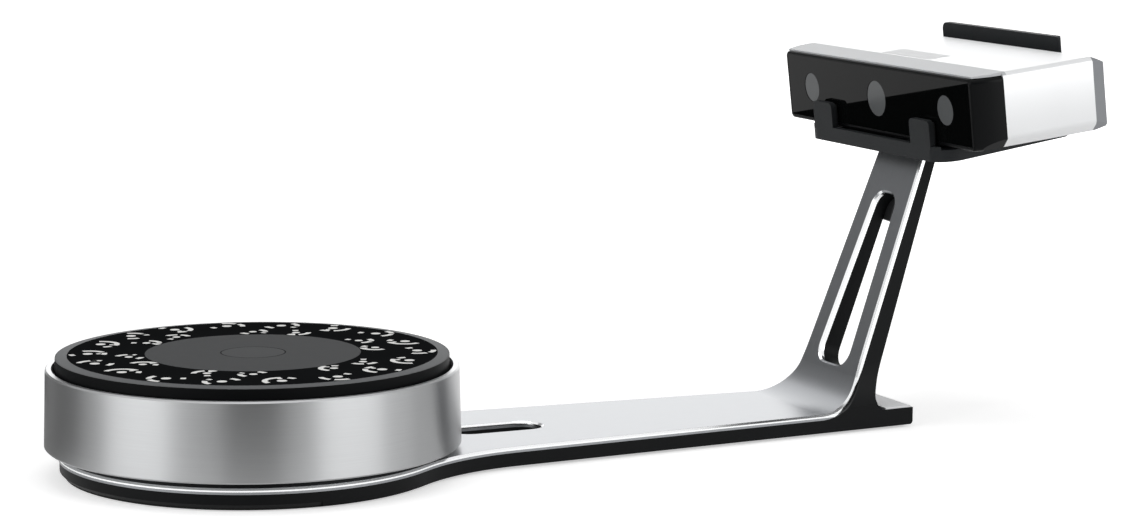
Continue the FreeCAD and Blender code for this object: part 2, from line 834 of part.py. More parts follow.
def base_frame():
    """Black casting: disc, arm and foot in one, with the column's backing growing out of it."""
    disc = turned("BaseDisc", [
        ("0", "base_underside"),
        ("base_disc_radius - base_edge_bevel", "base_underside"),
        ("base_disc_radius", "base_underside + base_edge_bevel"),
        ("base_disc_radius", "base_top"),
        ("0", "base_top"),
    ])
    # The line under the cradle that the gusset runs out along.
    gusset_z0 = "(%s - gusset_edge)" % CRADLE_SEAT_Z
    gusset_z = "((%s + (column_back - %s) * %s) / (1 - %s * %s))" % (
        gusset_z0, CRADLE_SEAT_X, TILT_SLOPE, BACK_SLOPE, TILT_SLOPE)
    gusset_x = column_back(gusset_z)
    gusset_end = "(%s + gusset_length)" % gusset_x
    side = side_view("BaseSide", [
        ("0", "base_underside"),
        ("foot_end", "base_underside"),
        ("foot_end", "foot_top"),
        (column_back("foot_top"), "foot_top"),
        (gusset_x, gusset_z),
        (gusset_end, "%s + gusset_length * %s" % (gusset_z, TILT_SLOPE)),
        (gusset_end, "outline_height"),
        (plate_back("outline_height"), "outline_height"),
        (plate_back("base_top"), "base_top"),
        ("0", "base_top"),
    ], "outline_half_width")
    rounded(side, "bend_radius + plate_thickness", passes(plate_back("base_top"), "base_top"))
    rounded(side, "foot_fillet", passes(column_back("foot_top"), "foot_top"))
    rounded(side, "gusset_radius", passes(gusset_x, gusset_z))
    rounded(side, "foot_end_radius", passes("foot_end", "base_underside"))
    arm = common("BaseArm", [plan_view("BasePlan", base_arm(), "base_side_inset"), side])
    solid = fuse("BaseSolid", [disc, arm])
    tools = [sides_of_column, slot_in_column, slot_in_arm, over_column]
    tools.append(rod("ServiceOpening", "service_radius", ("0", "0", "0"), "base_top + base_top"))
    tools.append(rod("CoverRecess", "cover_radius", ("0", "0", "0"),
                     "base_underside + cover_gap + cover_thickness"))
    tools += screw_holes("CoverScrewHole", 6, "cover_screw_circle", 0,
                         "m3_radius + hole_gap", "base_underside", "base_top - hole_gap")
    tools += screw_holes("DrumScrewHole", 6, "drum_screw_circle", 0,
                         "m4_radius + hole_gap", "0", "base_top + base_top")
    tools += screw_holes("DrumHeadHole", 6, "drum_screw_circle", 0,
                         "m4_head_radius + hole_gap", "0", "base_underside + m4_head + hole_gap")
    for index, (x, y) in enumerate(PLATE_SCREW_SPOTS):
        tools.append(rod("PlateScrewHole%d" % index, "m3_radius + hole_gap",
                         (x, y, "0"), "base_top + base_top"))
        tools.append(rod("PlateHeadHole%d" % index, "m3_head_radius + hole_gap",
                         (x, y, "0"), "base_underside + m3_head + hole_gap"))
    tools.append(cradle_screw_tool("BaseCradleHole", "m4_radius + hole_gap",
                                   "-cradle_screw_depth - hole_gap", "cradle_screw_depth"))
    return keep("base_frame", cut("BaseFrame", solid, tools))


def cradle_screw_tool(name, radius, low, high):
    """Pair of rods along the column's own direction, measured from the cradle's underside."""
    seat_x = "(%s + cradle_screw_seat * cos(head_tilt * 1deg))" % CRADLE_SEAT_X
    seat_z = "(%s + cradle_screw_seat * sin(head_tilt * 1deg))" % CRADLE_SEAT_Z
    rods = []
    for side, sign in (("Left", ""), ("Right", "-")):
        rods.append(rod(name + side, radius, ("0", sign + "cradle_screw_offset", low),
                        "(%s) - (%s)" % (high, low)))
    return lean(group(name, rods), (seat_x, "0", seat_z), "column_lean")


def top_plate():
    """Bent aluminium plate: disc under the drum, arm, bend and front of the column."""
    strip = side_view("PlateSide", [
        ("-outline_half_width", "base_top"),
        (plate_back("base_top"), "base_top"),
        (plate_back("outline_height"), "outline_height"),
        (column_front("outline_height"), "outline_height"),
        (column_front(PLATE_TOP), PLATE_TOP),
        ("-outline_half_width", PLATE_TOP),
    ], "outline_half_width")
    rounded(strip, "bend_radius + plate_thickness", passes(plate_back("base_top"), "base_top"))
    rounded(strip, "bend_radius", passes(column_front(PLATE_TOP), PLATE_TOP))
    sheet_metal = common("PlateMetal", [plan_view("PlatePlan", plate_arm(), "0"), strip])
    trimmed = cut("PlateTrimmed", sheet_metal, [slot_in_column, slot_in_arm, over_column])
    bevelled = doc.addObject("Part::Chamfer", "PlateBevelled")
    bevelled.Base = trimmed
    doc.recompute()
    bevel = number("plate_edge_bevel")
    bevelled.Edges = [(count, bevel, bevel) for count in plate_bevel_edges(trimmed.Shape)]
    tools = [rod("PlateOpening", "service_radius", ("0", "0", "0"), "base_top + base_top")]
    tools += screw_holes("PlateDrumHole", 6, "drum_screw_circle", 0,
                         "m4_radius + hole_gap", "0", "base_top + base_top")
    for index, (x, y) in enumerate(PLATE_SCREW_SPOTS):
        tools.append(rod("PlateBlindHole%d" % index, "m3_radius + hole_gap", (x, y, "0"),
                         "base_top + plate_thickness / 2 + hole_gap"))
    return keep("top_plate", cut("TopPlate", bevelled, tools))


def plate_bevel_edges(shape):
    """Numbers of the edges around the plate's flat show faces: arm top and column front."""
    column_normal = Rotation(Vector(0, 1, 0), number("column_lean")).multVec(Vector(1, 0, 0))
    column_foot = Vector(number("column_front"), 0, 0)
    top = number(PLATE_TOP)
    whole_width = number("column_slot_half_width") * 2

    def is_show_face(face):
        points = [vertex.Point for vertex in face.Vertexes]
        on_arm = all(abs(point.z - top) < 1e-3 for point in points)
        on_column = all(abs((point - column_foot).dot(column_normal)) < 1e-3 for point in points)
        return on_arm or on_column

    borders = [edge for face in shape.Faces if is_show_face(face) for edge in face.Edges]
    numbers = []
    for count, edge in enumerate(shape.Edges, 1):
        crosses_plate = edge.Length > whole_width and edge.BoundBox.XLength < 1e-3
        if not crosses_plate and any(edge.isSame(border) for border in borders):
            numbers.append(count)
    return numbers


def foot_inlay():
    """Thin light cover let into the top of the foot behind the column."""
    start_half = "(arm_half_width - arm_taper * inlay_start - inlay_side_margin)"
    end_half = "(arm_half_width - arm_taper * inlay_end - inlay_side_margin)"
    inlay = prism("FootInlay", "XY_Plane", [
        ("inlay_start", "-" + start_half),
        ("inlay_end", "-" + end_half),
        ("inlay_end", end_half),
        ("inlay_start", start_half),
    ], "foot_top", "foot_top + inlay_thickness")
    return keep("foot_inlay", inlay)


def bottom_cover():
    """Round steel lid under the drum with its six screws."""
    low = "base_underside + cover_gap"
    disc = rod("CoverDisc", "cover_radius - cover_gap", ("0", "0", low), "cover_thickness")
    holes = screw_holes("CoverHole", 6, "cover_screw_circle", 0,
                        "m3_radius + hole_gap", "0", "base_top")
    holes += screw_holes("CoverHeadHole", 6, "cover_screw_circle", 0,
                         "m3_head_radius + hole_gap", "0", low + " + m3_head")
    keep("bottom_cover", cut("BottomCover", disc, holes))


def base_feet():
    """Rubber ring under the disc and a flat rubber pad under the rear of the arm."""
    keep("foot_ring", turned("FootRing", [
        ("foot_ring_inner", "0"),
        ("foot_ring_outer", "0"),
        ("foot_ring_outer", "base_underside"),
        ("foot_ring_inner", "base_underside"),
    ]))
    keep("rear_foot_pad", wide_box("RearFootPad", ("rear_pad_start", "rear_pad_end"),
                                   "rear_pad_half_width", ("0", "base_underside")))


base_frame()
top_plate()
foot_inlay()
bottom_cover()
base_feet()


def plate_screws():
    """Countersunk screws that hold the plate to the casting from below."""
    screws = []
    for index, (x, y) in enumerate(PLATE_SCREW_SPOTS):
        seat = (x, y, "base_underside + m3_head + hole_gap")
        screws.append(screw("PlateScrew%d" % index, seat, "m3_radius", "m3_head_radius", "m3_head",
                            "base_top - base_underside - m3_head + plate_thickness / 2",
                            head_up=False))
    keep("plate_screws", group("PlateScrews", screws))


def ring_of_screws(label, count, circle, first_angle, seat, size, length, head_up):
    """Equal screws on a circle about the turntable axis, kept as one sub-part."""
    screws = []
    for index in range(count):
        x, y = polar(circle, first_angle + index * 360 / count)
        screws.append(screw("%s%d" % (label, index), (x, y, seat), size + "_radius",
                            size + "_head_radius", size + "_head", length, head_up))
    keep(label, group(label + "Group", screws))


plate_screws()
ring_of_screws("bottom_cover_screws", 6, "cover_screw_circle", 0,
               "base_underside + cover_gap + m3_head", "m3",
               "base_top - base_underside - m3_head - 2 * cover_gap", False)


# ---------------------------------------------------------------- drum

def drum():
    """Black neck ring and the brushed aluminium drum that stands on it."""
    neck = turned("NeckRing", [
        ("neck_inner", PLATE_TOP),
        ("neck_outer", PLATE_TOP),
        ("neck_outer", DRUM_LOW),
        ("neck_inner", DRUM_LOW),
    ])
    keep("neck_ring", cut("NeckRingDrilled", neck, screw_holes(
        "NeckHole", 6, "drum_screw_circle", 0, "m4_radius + hole_gap", "0", DECK_LOW)))
    shell = turned("DrumShell", [
        ("drum_flange_inner", DRUM_LOW),
        ("drum_bottom_radius - drum_edge_bevel", DRUM_LOW),
        ("drum_bottom_radius", DRUM_LOW + " + drum_edge_bevel"),
        ("drum_top_radius", DRUM_TOP + " - drum_edge_bevel"),
        ("drum_top_radius - drum_edge_bevel", DRUM_TOP),
        ("drum_bore_top", DRUM_TOP),
        ("drum_bore_low", DECK_LOW),
        ("drum_flange_inner", DECK_LOW),
    ])
    holes = screw_holes("FlangeHole", 6, "drum_screw_circle", 0, "m4_radius + hole_gap", "0", DECK_LOW)
    holes += screw_holes("DeckTapHole", 6, "deck_screw_circle", 30, "m3_radius + hole_gap",
                         "0", DECK_TOP)
    holes.append(box("DrumPort",
                     ("-link_half_width - socket_gap", "link_half_width + socket_gap"),
                     ("link_end - link_depth", "link_end + link_depth"),
                     ("link_level - socket_gap", "link_level + link_height + socket_gap")))
    keep("drum_ring", cut("DrumRing", shell, holes))


def deck():
    """Plate on the drum's flange that carries the bearing housing, the motor and the board."""
    plate = rod("DeckDisc", "deck_radius", ("0", "0", DECK_LOW), "deck_thickness")
    holes = screw_holes("DeckHole", 6, "deck_screw_circle", 30, "m3_radius + hole_gap", "0", DECK_TOP)
    holes += screw_holes("HousingTapHole", 4, "housing_screw_circle", 45, "m3_radius + hole_gap",
                         "0", DECK_TOP)
    holes.append(rod("DeckBore", "deck_bore", ("0", "0", "0"), DECK_TOP))
    for x, y in motor_corners():
        holes.append(rod("MotorTapHole", "m3_radius + hole_gap", (x, y, "0"), DECK_TOP))
    keep("deck_plate", cut("DeckPlate", plate, holes))


def motor_corners():
    """Positions of the motor's four through screws."""
    half = "motor_screw_pitch / 2"
    return [("-motor_distance %s %s" % (across, half), "0 %s %s" % (along, half))
            for across in "+-" for along in "+-"]


def bearing_housing():
    """Flanged housing with a seat for a ball bearing at each end of its bore."""
    lower_top = LOWER_BEARING + " + bearing_height"
    upper_top = UPPER_BEARING + " + bearing_height"
    shell = turned("HousingShell", [
        ("deck_bore", DECK_TOP),
        ("housing_flange_radius", DECK_TOP),
        ("housing_flange_radius", DECK_TOP + " + housing_flange"),
        ("housing_radius", DECK_TOP + " + housing_flange"),
        ("housing_radius", upper_top),
        ("bearing_outer", upper_top),
        ("bearing_outer", UPPER_BEARING),
        ("deck_bore", UPPER_BEARING),
        ("deck_bore", lower_top),
        ("bearing_outer", lower_top),
        ("bearing_outer", LOWER_BEARING),
        ("deck_bore", LOWER_BEARING),
    ])
    keep("bearing_housing", cut("HousingDrilled", shell, screw_holes(
        "HousingHole", 4, "housing_screw_circle", 45, "m3_radius + hole_gap", "0", upper_top)))


def bearings():
    """Two ball bearings: fixed outer races, a ring of balls each, and turning inner races."""
    outer_races = []
    inner_races = []
    balls = []
    for level, low in enumerate((LOWER_BEARING, UPPER_BEARING)):
        high = low + " + bearing_height"
        for races, name, inner, outer in ((outer_races, "OuterRace", "outer_race_inner", "bearing_outer"),
                                          (inner_races, "InnerRace", "bearing_inner", "inner_race_outer")):
            races.append(turned("%s%d" % (name, level), [
                (inner, low), (outer, low), (outer, high), (inner, high)]))
        for index in range(8):
            x, y = polar("ball_circle", index * 45)
            balls.append(ball("Ball%d_%d" % (level, index), "ball_radius",
                              (x, y, low + " + bearing_height / 2")))
    keep("bearing_outer_races", group("OuterRaces", outer_races))
    keep("bearing_inner_races", group("InnerRaces", inner_races))
    keep("bearing_balls", group("BearingBalls", balls))


drum()
ring_of_screws("drum_screws", 6, "drum_screw_circle", 0, "base_underside + m4_head + hole_gap",
               "m4", "%s - base_underside - m4_head - 2 * hole_gap" % DECK_LOW, False)
deck()
ring_of_screws("deck_screws", 6, "deck_screw_circle", 30, DECK_TOP, "m3",
               "deck_thickness + drum_flange - hole_gap", True)
bearing_housing()
ring_of_screws("housing_screws", 4, "housing_screw_circle", 45, DECK_TOP + " + housing_flange",
               "m3", "housing_flange + deck_thickness - hole_gap", True)
bearings()


# ---------------------------------------------------------------- platter

def spindle():
    """Shaft in the bearings with a flange that the platter is screwed to."""
    end = DECK_TOP + " + spindle_end_gap"
    body = turned("Spindle", [
        ("0", end),
        ("bearing_inner", end),
        ("bearing_inner", SPINDLE_FLANGE_LOW),
        ("spindle_flange_radius", SPINDLE_FLANGE_LOW),
        ("spindle_flange_radius", "platter_hub_bottom"),
        ("0", "platter_hub_bottom"),
    ])
    keep("spindle", cut("SpindleTapped", body, screw_holes(
        "SpindleHole", 4, "platter_screw_circle", 45, "m4_radius + hole_gap",
        SPINDLE_FLANGE_LOW, "platter_top")))


def platter():
    """Dished platter with a hub, a skirt and a sloping rim, under three flush top pieces."""
    skirt_inner = "platter_radius - platter_skirt_thickness"
    dish = turned("PlatterDish", [
        ("0", "platter_hub_bottom"),
        ("platter_hub_radius", "platter_hub_bottom"),
        ("platter_hub_radius + platter_skirt_thickness", "platter_web_bottom"),
        (skirt_inner, "platter_web_bottom"),
        (skirt_inner, "platter_skirt_bottom"),
        ("platter_radius", "platter_skirt_bottom"),
        ("platter_radius", "platter_edge_height"),
        ("marker_outer + skin_gap", "platter_top"),
        ("marker_outer + skin_gap", SKIN_LOW),
        ("0", SKIN_LOW),
    ])
    holes = screw_holes("PlatterHole", 4, "platter_screw_circle", 45, "m4_radius + hole_gap",
                        SPINDLE_FLANGE_LOW, "platter_top")
    holes += screw_holes("PlatterHeadHole", 4, "platter_screw_circle", 45,
                         "m4_head_radius + hole_gap", "platter_web_bottom", "platter_top")
    keep("platter", cut("Platter", dish, holes))
    for label, inner, outer in (("marker_ring", "pad_outer + skin_gap", "marker_outer"),
                                ("anti_slip_pad", "cap_outer + skin_gap", "pad_outer")):
        keep(label, turned(label + "Skin", [
            (inner, SKIN_LOW), (outer, SKIN_LOW), (outer, "platter_top"), (inner, "platter_top")]))
    keep("centre_cap", rod("CentreCap", "cap_outer", ("0", "0", SKIN_LOW), "top_skin"))


def platter_pulley():
    """Large belt pulley clamped on the spindle below its flange."""
    hub_low = SPINDLE_FLANGE_LOW + " - pulley_hub_height"
    web_low = PULLEY_LOW + " + (pulley_width - pulley_web) / 2"
    web_high = web_low + " + pulley_web"
    rim_inner = "pulley_radius - pulley_rim"
    keep("platter_pulley", turned("PlatterPulley", [
        ("bearing_inner", hub_low),
        ("pulley_hub_radius", hub_low),
        ("pulley_hub_radius", web_low),
        (rim_inner, web_low),
        (rim_inner, PULLEY_LOW),
        ("pulley_radius", PULLEY_LOW),
        ("pulley_radius", SPINDLE_FLANGE_LOW),
        (rim_inner, SPINDLE_FLANGE_LOW),
        (rim_inner, web_high),
        ("pulley_hub_radius", web_high),
        ("pulley_hub_radius", SPINDLE_FLANGE_LOW),
        ("bearing_inner", SPINDLE_FLANGE_LOW),
    ]))


spindle()
platter()
ring_of_screws("platter_screws", 4, "platter_screw_circle", 45, "platter_web_bottom", "m4",
               "platter_web_bottom - %s - hole_gap" % SPINDLE_FLANGE_LOW, True)
platter_pulley()


# ---------------------------------------------------------------- drive

def motor():
    """Flat stepping motor on the deck with a shaft that carries the small belt pulley."""
    half = "motor_side / 2"
    block = box("MotorBlock", ("-motor_distance - " + half, "-motor_distance + " + half),
                ("-" + half, half), (DECK_TOP, MOTOR_TOP))
    boss = rod("MotorBoss", "motor_boss_radius", ("-motor_distance", "0", MOTOR_TOP), "motor_boss")
    holes = [rod("MotorBore", "motor_shaft_radius + shaft_clearance",
                 ("-motor_distance", "0", DECK_TOP + " + deck_thickness"),
                 "%s + motor_boss - %s" % (MOTOR_TOP, DECK_TOP))]
    screws = []
    for index, (x, y) in enumerate(motor_corners()):
        holes.append(rod("MotorHole%d" % index, "m3_radius + hole_gap", (x, y, DECK_TOP),
                         "%s - %s" % (MOTOR_TOP, DECK_TOP)))
        screws.append(screw("MotorScrew%d" % index, (x, y, MOTOR_TOP), "m3_radius", "m3_head_radius",
                            "m3_head", "%s - %s - hole_gap" % (MOTOR_TOP, DECK_LOW), True))
    keep("motor_body", cut("MotorBody", fuse("MotorSolid", [block, boss]), holes))
    keep("motor_screws", group("MotorScrews", screws))
    shaft_low = "(%s + deck_thickness + spindle_end_gap)" % DECK_TOP
    keep("motor_shaft", rod("MotorShaft", "motor_shaft_radius", ("-motor_distance", "0", shaft_low),
                            "%s - %s" % (SPINDLE_FLANGE_LOW, shaft_low)))
    wheel = rod("MotorWheel", "motor_pulley_radius", ("-motor_distance", "0", PULLEY_LOW), "pulley_width")
    bore = rod("MotorWheelBore", "motor_shaft_radius", ("-motor_distance", "0", PULLEY_LOW), "pulley_width")
    keep("motor_pulley", cut("MotorPulley", wheel, [bore]))


def belt_loop(name, offset):
    """Solid inside a belt line that stands off both pulleys by an offset."""
    large = "(pulley_radius + %s)" % offset
    small = "(motor_pulley_radius + %s)" % offset
    toward_motor = "((pulley_radius - motor_pulley_radius) / motor_distance)"
    sideways = "sqrt(1 - %s^2)" % toward_motor
    middle = prism(name + "Middle", "XY_Plane", mirrored([
        ("-motor_distance - %s * %s" % (small, toward_motor), "%s * %s" % (small, sideways)),
        ("-%s * %s" % (large, toward_motor), "%s * %s" % (large, sideways)),
    ]), BELT_LOW, BELT_LOW + " + belt_width")
    return fuse(name, [
        middle,
        rod(name + "Large", large, ("0", "0", BELT_LOW), "belt_width"),
        rod(name + "Small", small, ("-motor_distance", "0", BELT_LOW), "belt_width"),
    ])


def control_board():
    """Board with its parts on four standoffs, and the socket for the cable to the head."""
    far_edge = "(board_start + board_width)"
    board = box("Board", ("-board_half_length", "board_half_length"),
                ("board_start", far_edge), (BOARD_LOW, BOARD_LOW + " + board_thickness"))
    keep("control_board", board)
    posts = []
    for index, (sign, y) in enumerate(((sign, y) for sign in "-+"
                                       for y in ("board_start + standoff_inset",
                                                 far_edge + " - standoff_inset"))):
        x = "0 %s (board_half_length - standoff_inset)" % sign
        posts.append(rod("Standoff%d" % index, "standoff_radius", (x, y, DECK_TOP), "board_standoff"))
    keep("board_standoffs", group("BoardStandoffs", posts))
    top = BOARD_LOW + " + board_thickness"
    parts = []
    for index, (x, y, length, width, height) in enumerate(BOARD_BLOCKS):
        parts.append(box("BoardBlock%d" % index, (str(x), str(x + length)),
                         ("board_start + %s" % y, "board_start + %s" % (y + width)),
                         (top, "%s + %s" % (top, height))))
    keep("board_parts", group("BoardParts", parts))
    keep("link_socket", socket("LinkSocket", "link_half_width",
                               ("link_end - link_depth", "link_end"),
                               ("link_level", "link_level + link_height"), along="Y"))


# Chips, connectors and capacitors on the board: place, size and height in millimetres.
BOARD_BLOCKS = [
    (-8, 12, 14, 14, 1.6),
    (14, 8, 9, 9, 3.0),
    (-30, 10, 8, 8, 6.5),
    (-32, 24, 10, 7, 7.0),
    (-18, 28, 12, 6, 6.0),
    (24, 24, 7, 10, 6.0),
]


def socket(name, half_width, reach, level, along, across="0"):
    """Cable socket: a shell with a blind opening at the far end of its reach."""
    near, far = reach
    low, high = level
    wide = ("%s - %s" % (across, half_width), "%s + %s" % (across, half_width))
    opening = ("%s + link_wall" % wide[0], "%s - link_wall" % wide[1])
    depth = ("%s + 2 * link_wall" % near, far)
    inside = (low + " + link_wall", high + " - link_wall")
    if along == "Y":
        return cut(name, box(name + "Shell", wide, reach, level),
                   [box(name + "Opening", opening, depth, inside)])
    return cut(name, box(name + "Shell", reach, wide, level),
               [box(name + "Opening", depth, opening, inside)])


motor()
keep("drive_belt", cut("DriveBelt", belt_loop("BeltOutside", "belt_gap + belt_thickness"),
                       [belt_loop("BeltInside", "belt_gap")]))
control_board()


# ---------------------------------------------------------------- cradle

def head_cradle():
    """Tray under the head with two front hooks and a rear wall that frames the ports."""
    wall_end = "(wall_start + wall_thickness)"
    tray = prism("TrayPlan", "XY_Plane", mirrored([
        ("cradle_front", "cradle_half_width"),
        (wall_end, "cradle_rear_half_width"),
    ]), "cradle_underside", "wall_top")
    upright = runs_along(Vector(0, 0, 1))
    rounded(tray, "cradle_corner", lambda edge: upright(edge) and near_x(edge, "cradle_front"))
    rounded(tray, "cradle_rear_corner", lambda edge: upright(edge) and near_x(edge, wall_end))
    everything = "outline_half_width"
    above_floor = wide_box("TrayRoom", ("cradle_front + cradle_lip", "wall_start"), everything,
                           ("cradle_floor", everything))
    over_lip = wide_box("LipRoom", ("cradle_front - cradle_lip", "wall_start"), everything,
                        ("cradle_lip_top", everything))
    wall_front_view = rounded(prism("WallFront", "YZ_Plane", [
        ("-cradle_rear_half_width", "cradle_underside"),
        ("cradle_rear_half_width", "cradle_underside"),
        ("cradle_rear_half_width", "wall_top"),
        ("-cradle_rear_half_width", "wall_top"),
    ], "wall_start", wall_end), "wall_corner", lambda edge: runs_along(Vector(1, 0, 0))(edge)
        and edge.CenterOfMass.z > 0)
    floor = cut("TrayFloor", tray, [
        above_floor, over_lip,
        wide_box("WallRoom", ("wall_start", wall_end), everything, ("cradle_floor", everything))])
    wall = common("TrayWall", [tray, wall_front_view])
    hooks = []
    for side, sign in (("Left", ""), ("Right", "-")):
        near = "%s%s" % (sign, "hook_inner")
        far = "%s%s" % (sign, "hook_outer")
        hook = prism("Hook" + side, "YZ_Plane", [
            (near, "cradle_floor"), (far, "cradle_floor"), (far, "hook_top"), (near, "hook_top"),
        ], "cradle_front", "cradle_front + cradle_lip")
        hooks.append(rounded(hook, "hook_corner", lambda edge: runs_along(Vector(1, 0, 0))(edge)
                             and near_z(edge, "hook_top")))
    tools = [
        wide_box("PortWindow", ("wall_start - wall_thickness", wall_end + " + wall_thickness"),
                 "port_window_half_width", ("port_window_low", "port_window_high")),
        rod("TripodClearance", "cradle_hole_radius",
            ("tripod_centre", "0", "cradle_underside - cradle_lip"), "outline_half_width / 2"),
    ]
    tools += level_in_head(cradle_screw_tool("CradleHole", "m4_radius + hole_gap",
                                             "-cradle_screw_depth", "cradle_screw_depth"),
                           cradle_screw_tool("CradleHeadHole", "m4_head_radius + hole_gap",
                                             "cradle_screw_head_low", "cradle_screw_depth"))
    keep_in_head("head_cradle", cut("HeadCradle", fuse("CradleSolid", [floor, wall] + hooks), tools))


def near_z(edge, z):
    return abs(edge.CenterOfMass.z - number(z)) < 1e-3


def level_in_head(*tools):
    """Bring tools that were placed in the world back into the head's level frame."""
    levelled = []
    for tool in tools:
        shifted = move_to(group(tool.Name + "AtHead", [tool]), ("-head_x", "0", "-head_z"))
        turned_back = group(tool.Name + "Level", [shifted])
        levelled.append(lean(turned_back, ("0", "0", "0"), "head_tilt"))
    return levelled


def cradle_pads():
    """Rubber pads that the head rests on, and those on the hooks and the rear wall."""
    pads = []
    for side, near, far in (("Left", "pad_inner", "pad_inner + pad_width"),
                            ("Right", "-pad_inner - pad_width", "-pad_inner")):
        for row, start in (("Front", "front_pad_start"), ("Rear", "rear_pad_row_start")):
            pads.append(box("RestPad" + row + side, (start, start + " + pad_length"), (near, far),
                            ("cradle_floor", "head_bottom - rest_gap")))
    for side, sign in (("Left", 1), ("Right", -1)):
        hook = sorted(("%d * (hook_inner + hook_pad_inset)" % sign,
                       "%d * (hook_outer - hook_pad_inset)" % sign), key=number)
        pads.append(box("HookPad" + side, ("cradle_front + cradle_lip", "-hook_pad_gap"), hook,
                        ("head_bottom", "hook_pad_top")))
        wall = sorted(("%d * wall_pad_inner" % sign, "%d * wall_pad_outer" % sign), key=number)
        pads.append(box("WallPad" + side, ("cap_rear + hook_pad_gap", "wall_start"), wall,
                        ("wall_pad_low", "wall_pad_high")))
    keep_in_head("cradle_pads", group("CradlePads", pads))


head_cradle()
cradle_pads()
keep("cradle_screws", fuse("CradleScrews", [
    cradle_screw_tool("CradleShank", "m4_radius", "-cradle_screw_depth", "cradle_screw_head_low"),
    cradle_screw_tool("CradleHead", "m4_head_radius", "cradle_screw_head_low",
                      "cradle_screw_head_low + cradle_screw_head"),
]))


def cable_clip():
    """Open plastic ring behind the column's +Y rail for the cable between drum and head."""
    ring = rod("ClipRing", "clip_radius", ("clip_base + clip_radius", "clip_centre", "clip_low"),
               "clip_length")
    base = box("ClipBase", ("0", "clip_base + clip_radius / 2"),
               ("clip_centre - clip_half_width", "clip_centre + clip_half_width"),
               ("clip_low", "clip_low + clip_length"))
    bore = rod("ClipBore", "clip_bore", ("clip_base + clip_radius", "clip_centre", "0"),
               "clip_low + 2 * clip_length")
    mouth = box("ClipMouth", ("clip_base + clip_radius", "clip_base + 3 * clip_radius"),
                ("clip_centre - clip_mouth / 2", "clip_centre + clip_mouth / 2"),
                ("0", "clip_low + 2 * clip_length"))
    clip = cut("CableClip", fuse("ClipSolid", [ring, base]), [bore, mouth])
    keep("cable_clip", lean(clip, ("column_back", "0", "0"), "column_back_lean"))


cable_clip()


# ---------------------------------------------------------------- head shell

def head_section(inset):
    """Front view of the head: bevelled top corners and larger bevels below."""
    mitre = "(%s) * tan(22.5deg)" % inset
    return mirrored_front([
        ("head_half_width - head_top_bevel - " + mitre, "head_top - (%s)" % inset),
        ("head_half_width - (%s)" % inset, "head_top - head_top_bevel - " + mitre),
        ("head_half_width - (%s)" % inset, "head_bottom + head_low_bevel + " + mitre),
        ("head_half_width - head_low_bevel - " + mitre, "head_bottom + (%s)" % inset),
    ])


def shell_length(name, inset, start, end):
    return prism(name, "YZ_Plane", head_section(inset), start, end)


def outer_length(name, start, end):
    """Length of the head's outer form, with the corners of its bevels rounded."""
    length = shell_length(name, "0", start, end)
    lengthways = runs_along(Vector(1, 0, 0))
    rounded(length, "head_top_round", lambda edge: lengthways(edge) and edge.CenterOfMass.z > 0)
    rounded(length, "head_low_round", lambda edge: lengthways(edge) and edge.CenterOfMass.z < 0)
    return length


def corner_bosses(name, radius, start, end):
    """Rods at the four corners of the head, for the rear cap's screws."""
    rods = []
    for index, (sign, z) in enumerate((sign, z) for sign in ("", "-") for z in ("boss_low", "boss_high")):
        rods.append(rod("%s%d" % (name, index), radius, (start, sign + "boss_offset", z),
                        "(%s) - (%s)" % (end, start), axis="X"))
    return rods


def head_sleeve():
    """White middle of the head with screw bosses, a notch for the brow and the badge seat."""
    outside = outer_length("SleeveOutside", "sleeve_front", "sleeve_rear")
    inside = shell_length("SleeveInside", "shell_thickness", "sleeve_front", "sleeve_rear")
    tube = cut("SleeveTube", outside, [inside])
    bosses = common("SleeveBosses", [
        group("SleeveBossRods", corner_bosses("SleeveBoss", "boss_radius",
                                              "sleeve_rear - boss_length", "sleeve_rear")),
        outside,
    ])
    tools = corner_bosses("SleeveBossHole", "m3_radius + hole_gap",
                          "sleeve_rear - boss_length", "sleeve_rear")
    tools += [
        wide_box("BrowNotch", ("sleeve_front", "brow_rear"), "outline_half_width",
                 ("brow_low", "head_top + shell_thickness")),
        wide_box("BadgeSeat", ("badge_start", "badge_end"), "badge_half_width",
                 ("head_top + badge_proud - badge_thickness", "head_top + shell_thickness")),
        rod("TripodSeat", "tripod_radius", ("tripod_centre", "0", "head_bottom - shell_thickness"),
            "3 * shell_thickness"),
    ]
    keep_in_head("head_sleeve", cut("HeadSleeve", fuse("SleeveSolid", [tube, bosses]), tools))


def bezel_plan(name, inset, low, high):
    """Front of the head from above: its sides round in to a narrower face."""
    side = "(head_half_width - bezel_flare_radius)"
    radius = "bezel_flare_radius - (%s)" % inset
    block = wide_box(name + "Block", ("0", "sleeve_front"), side, (low, high))
    rods = [rod(name + corner, radius, ("sleeve_front", sign + side, low), "(%s) - (%s)" % (high, low))
            for corner, sign in (("Left", ""), ("Right", "-"))]
    limit = wide_box(name + "Limit", ("0", "sleeve_front"), "head_half_width", (low, high))
    return common(name, [fuse(name + "Whole", [block] + rods), limit])


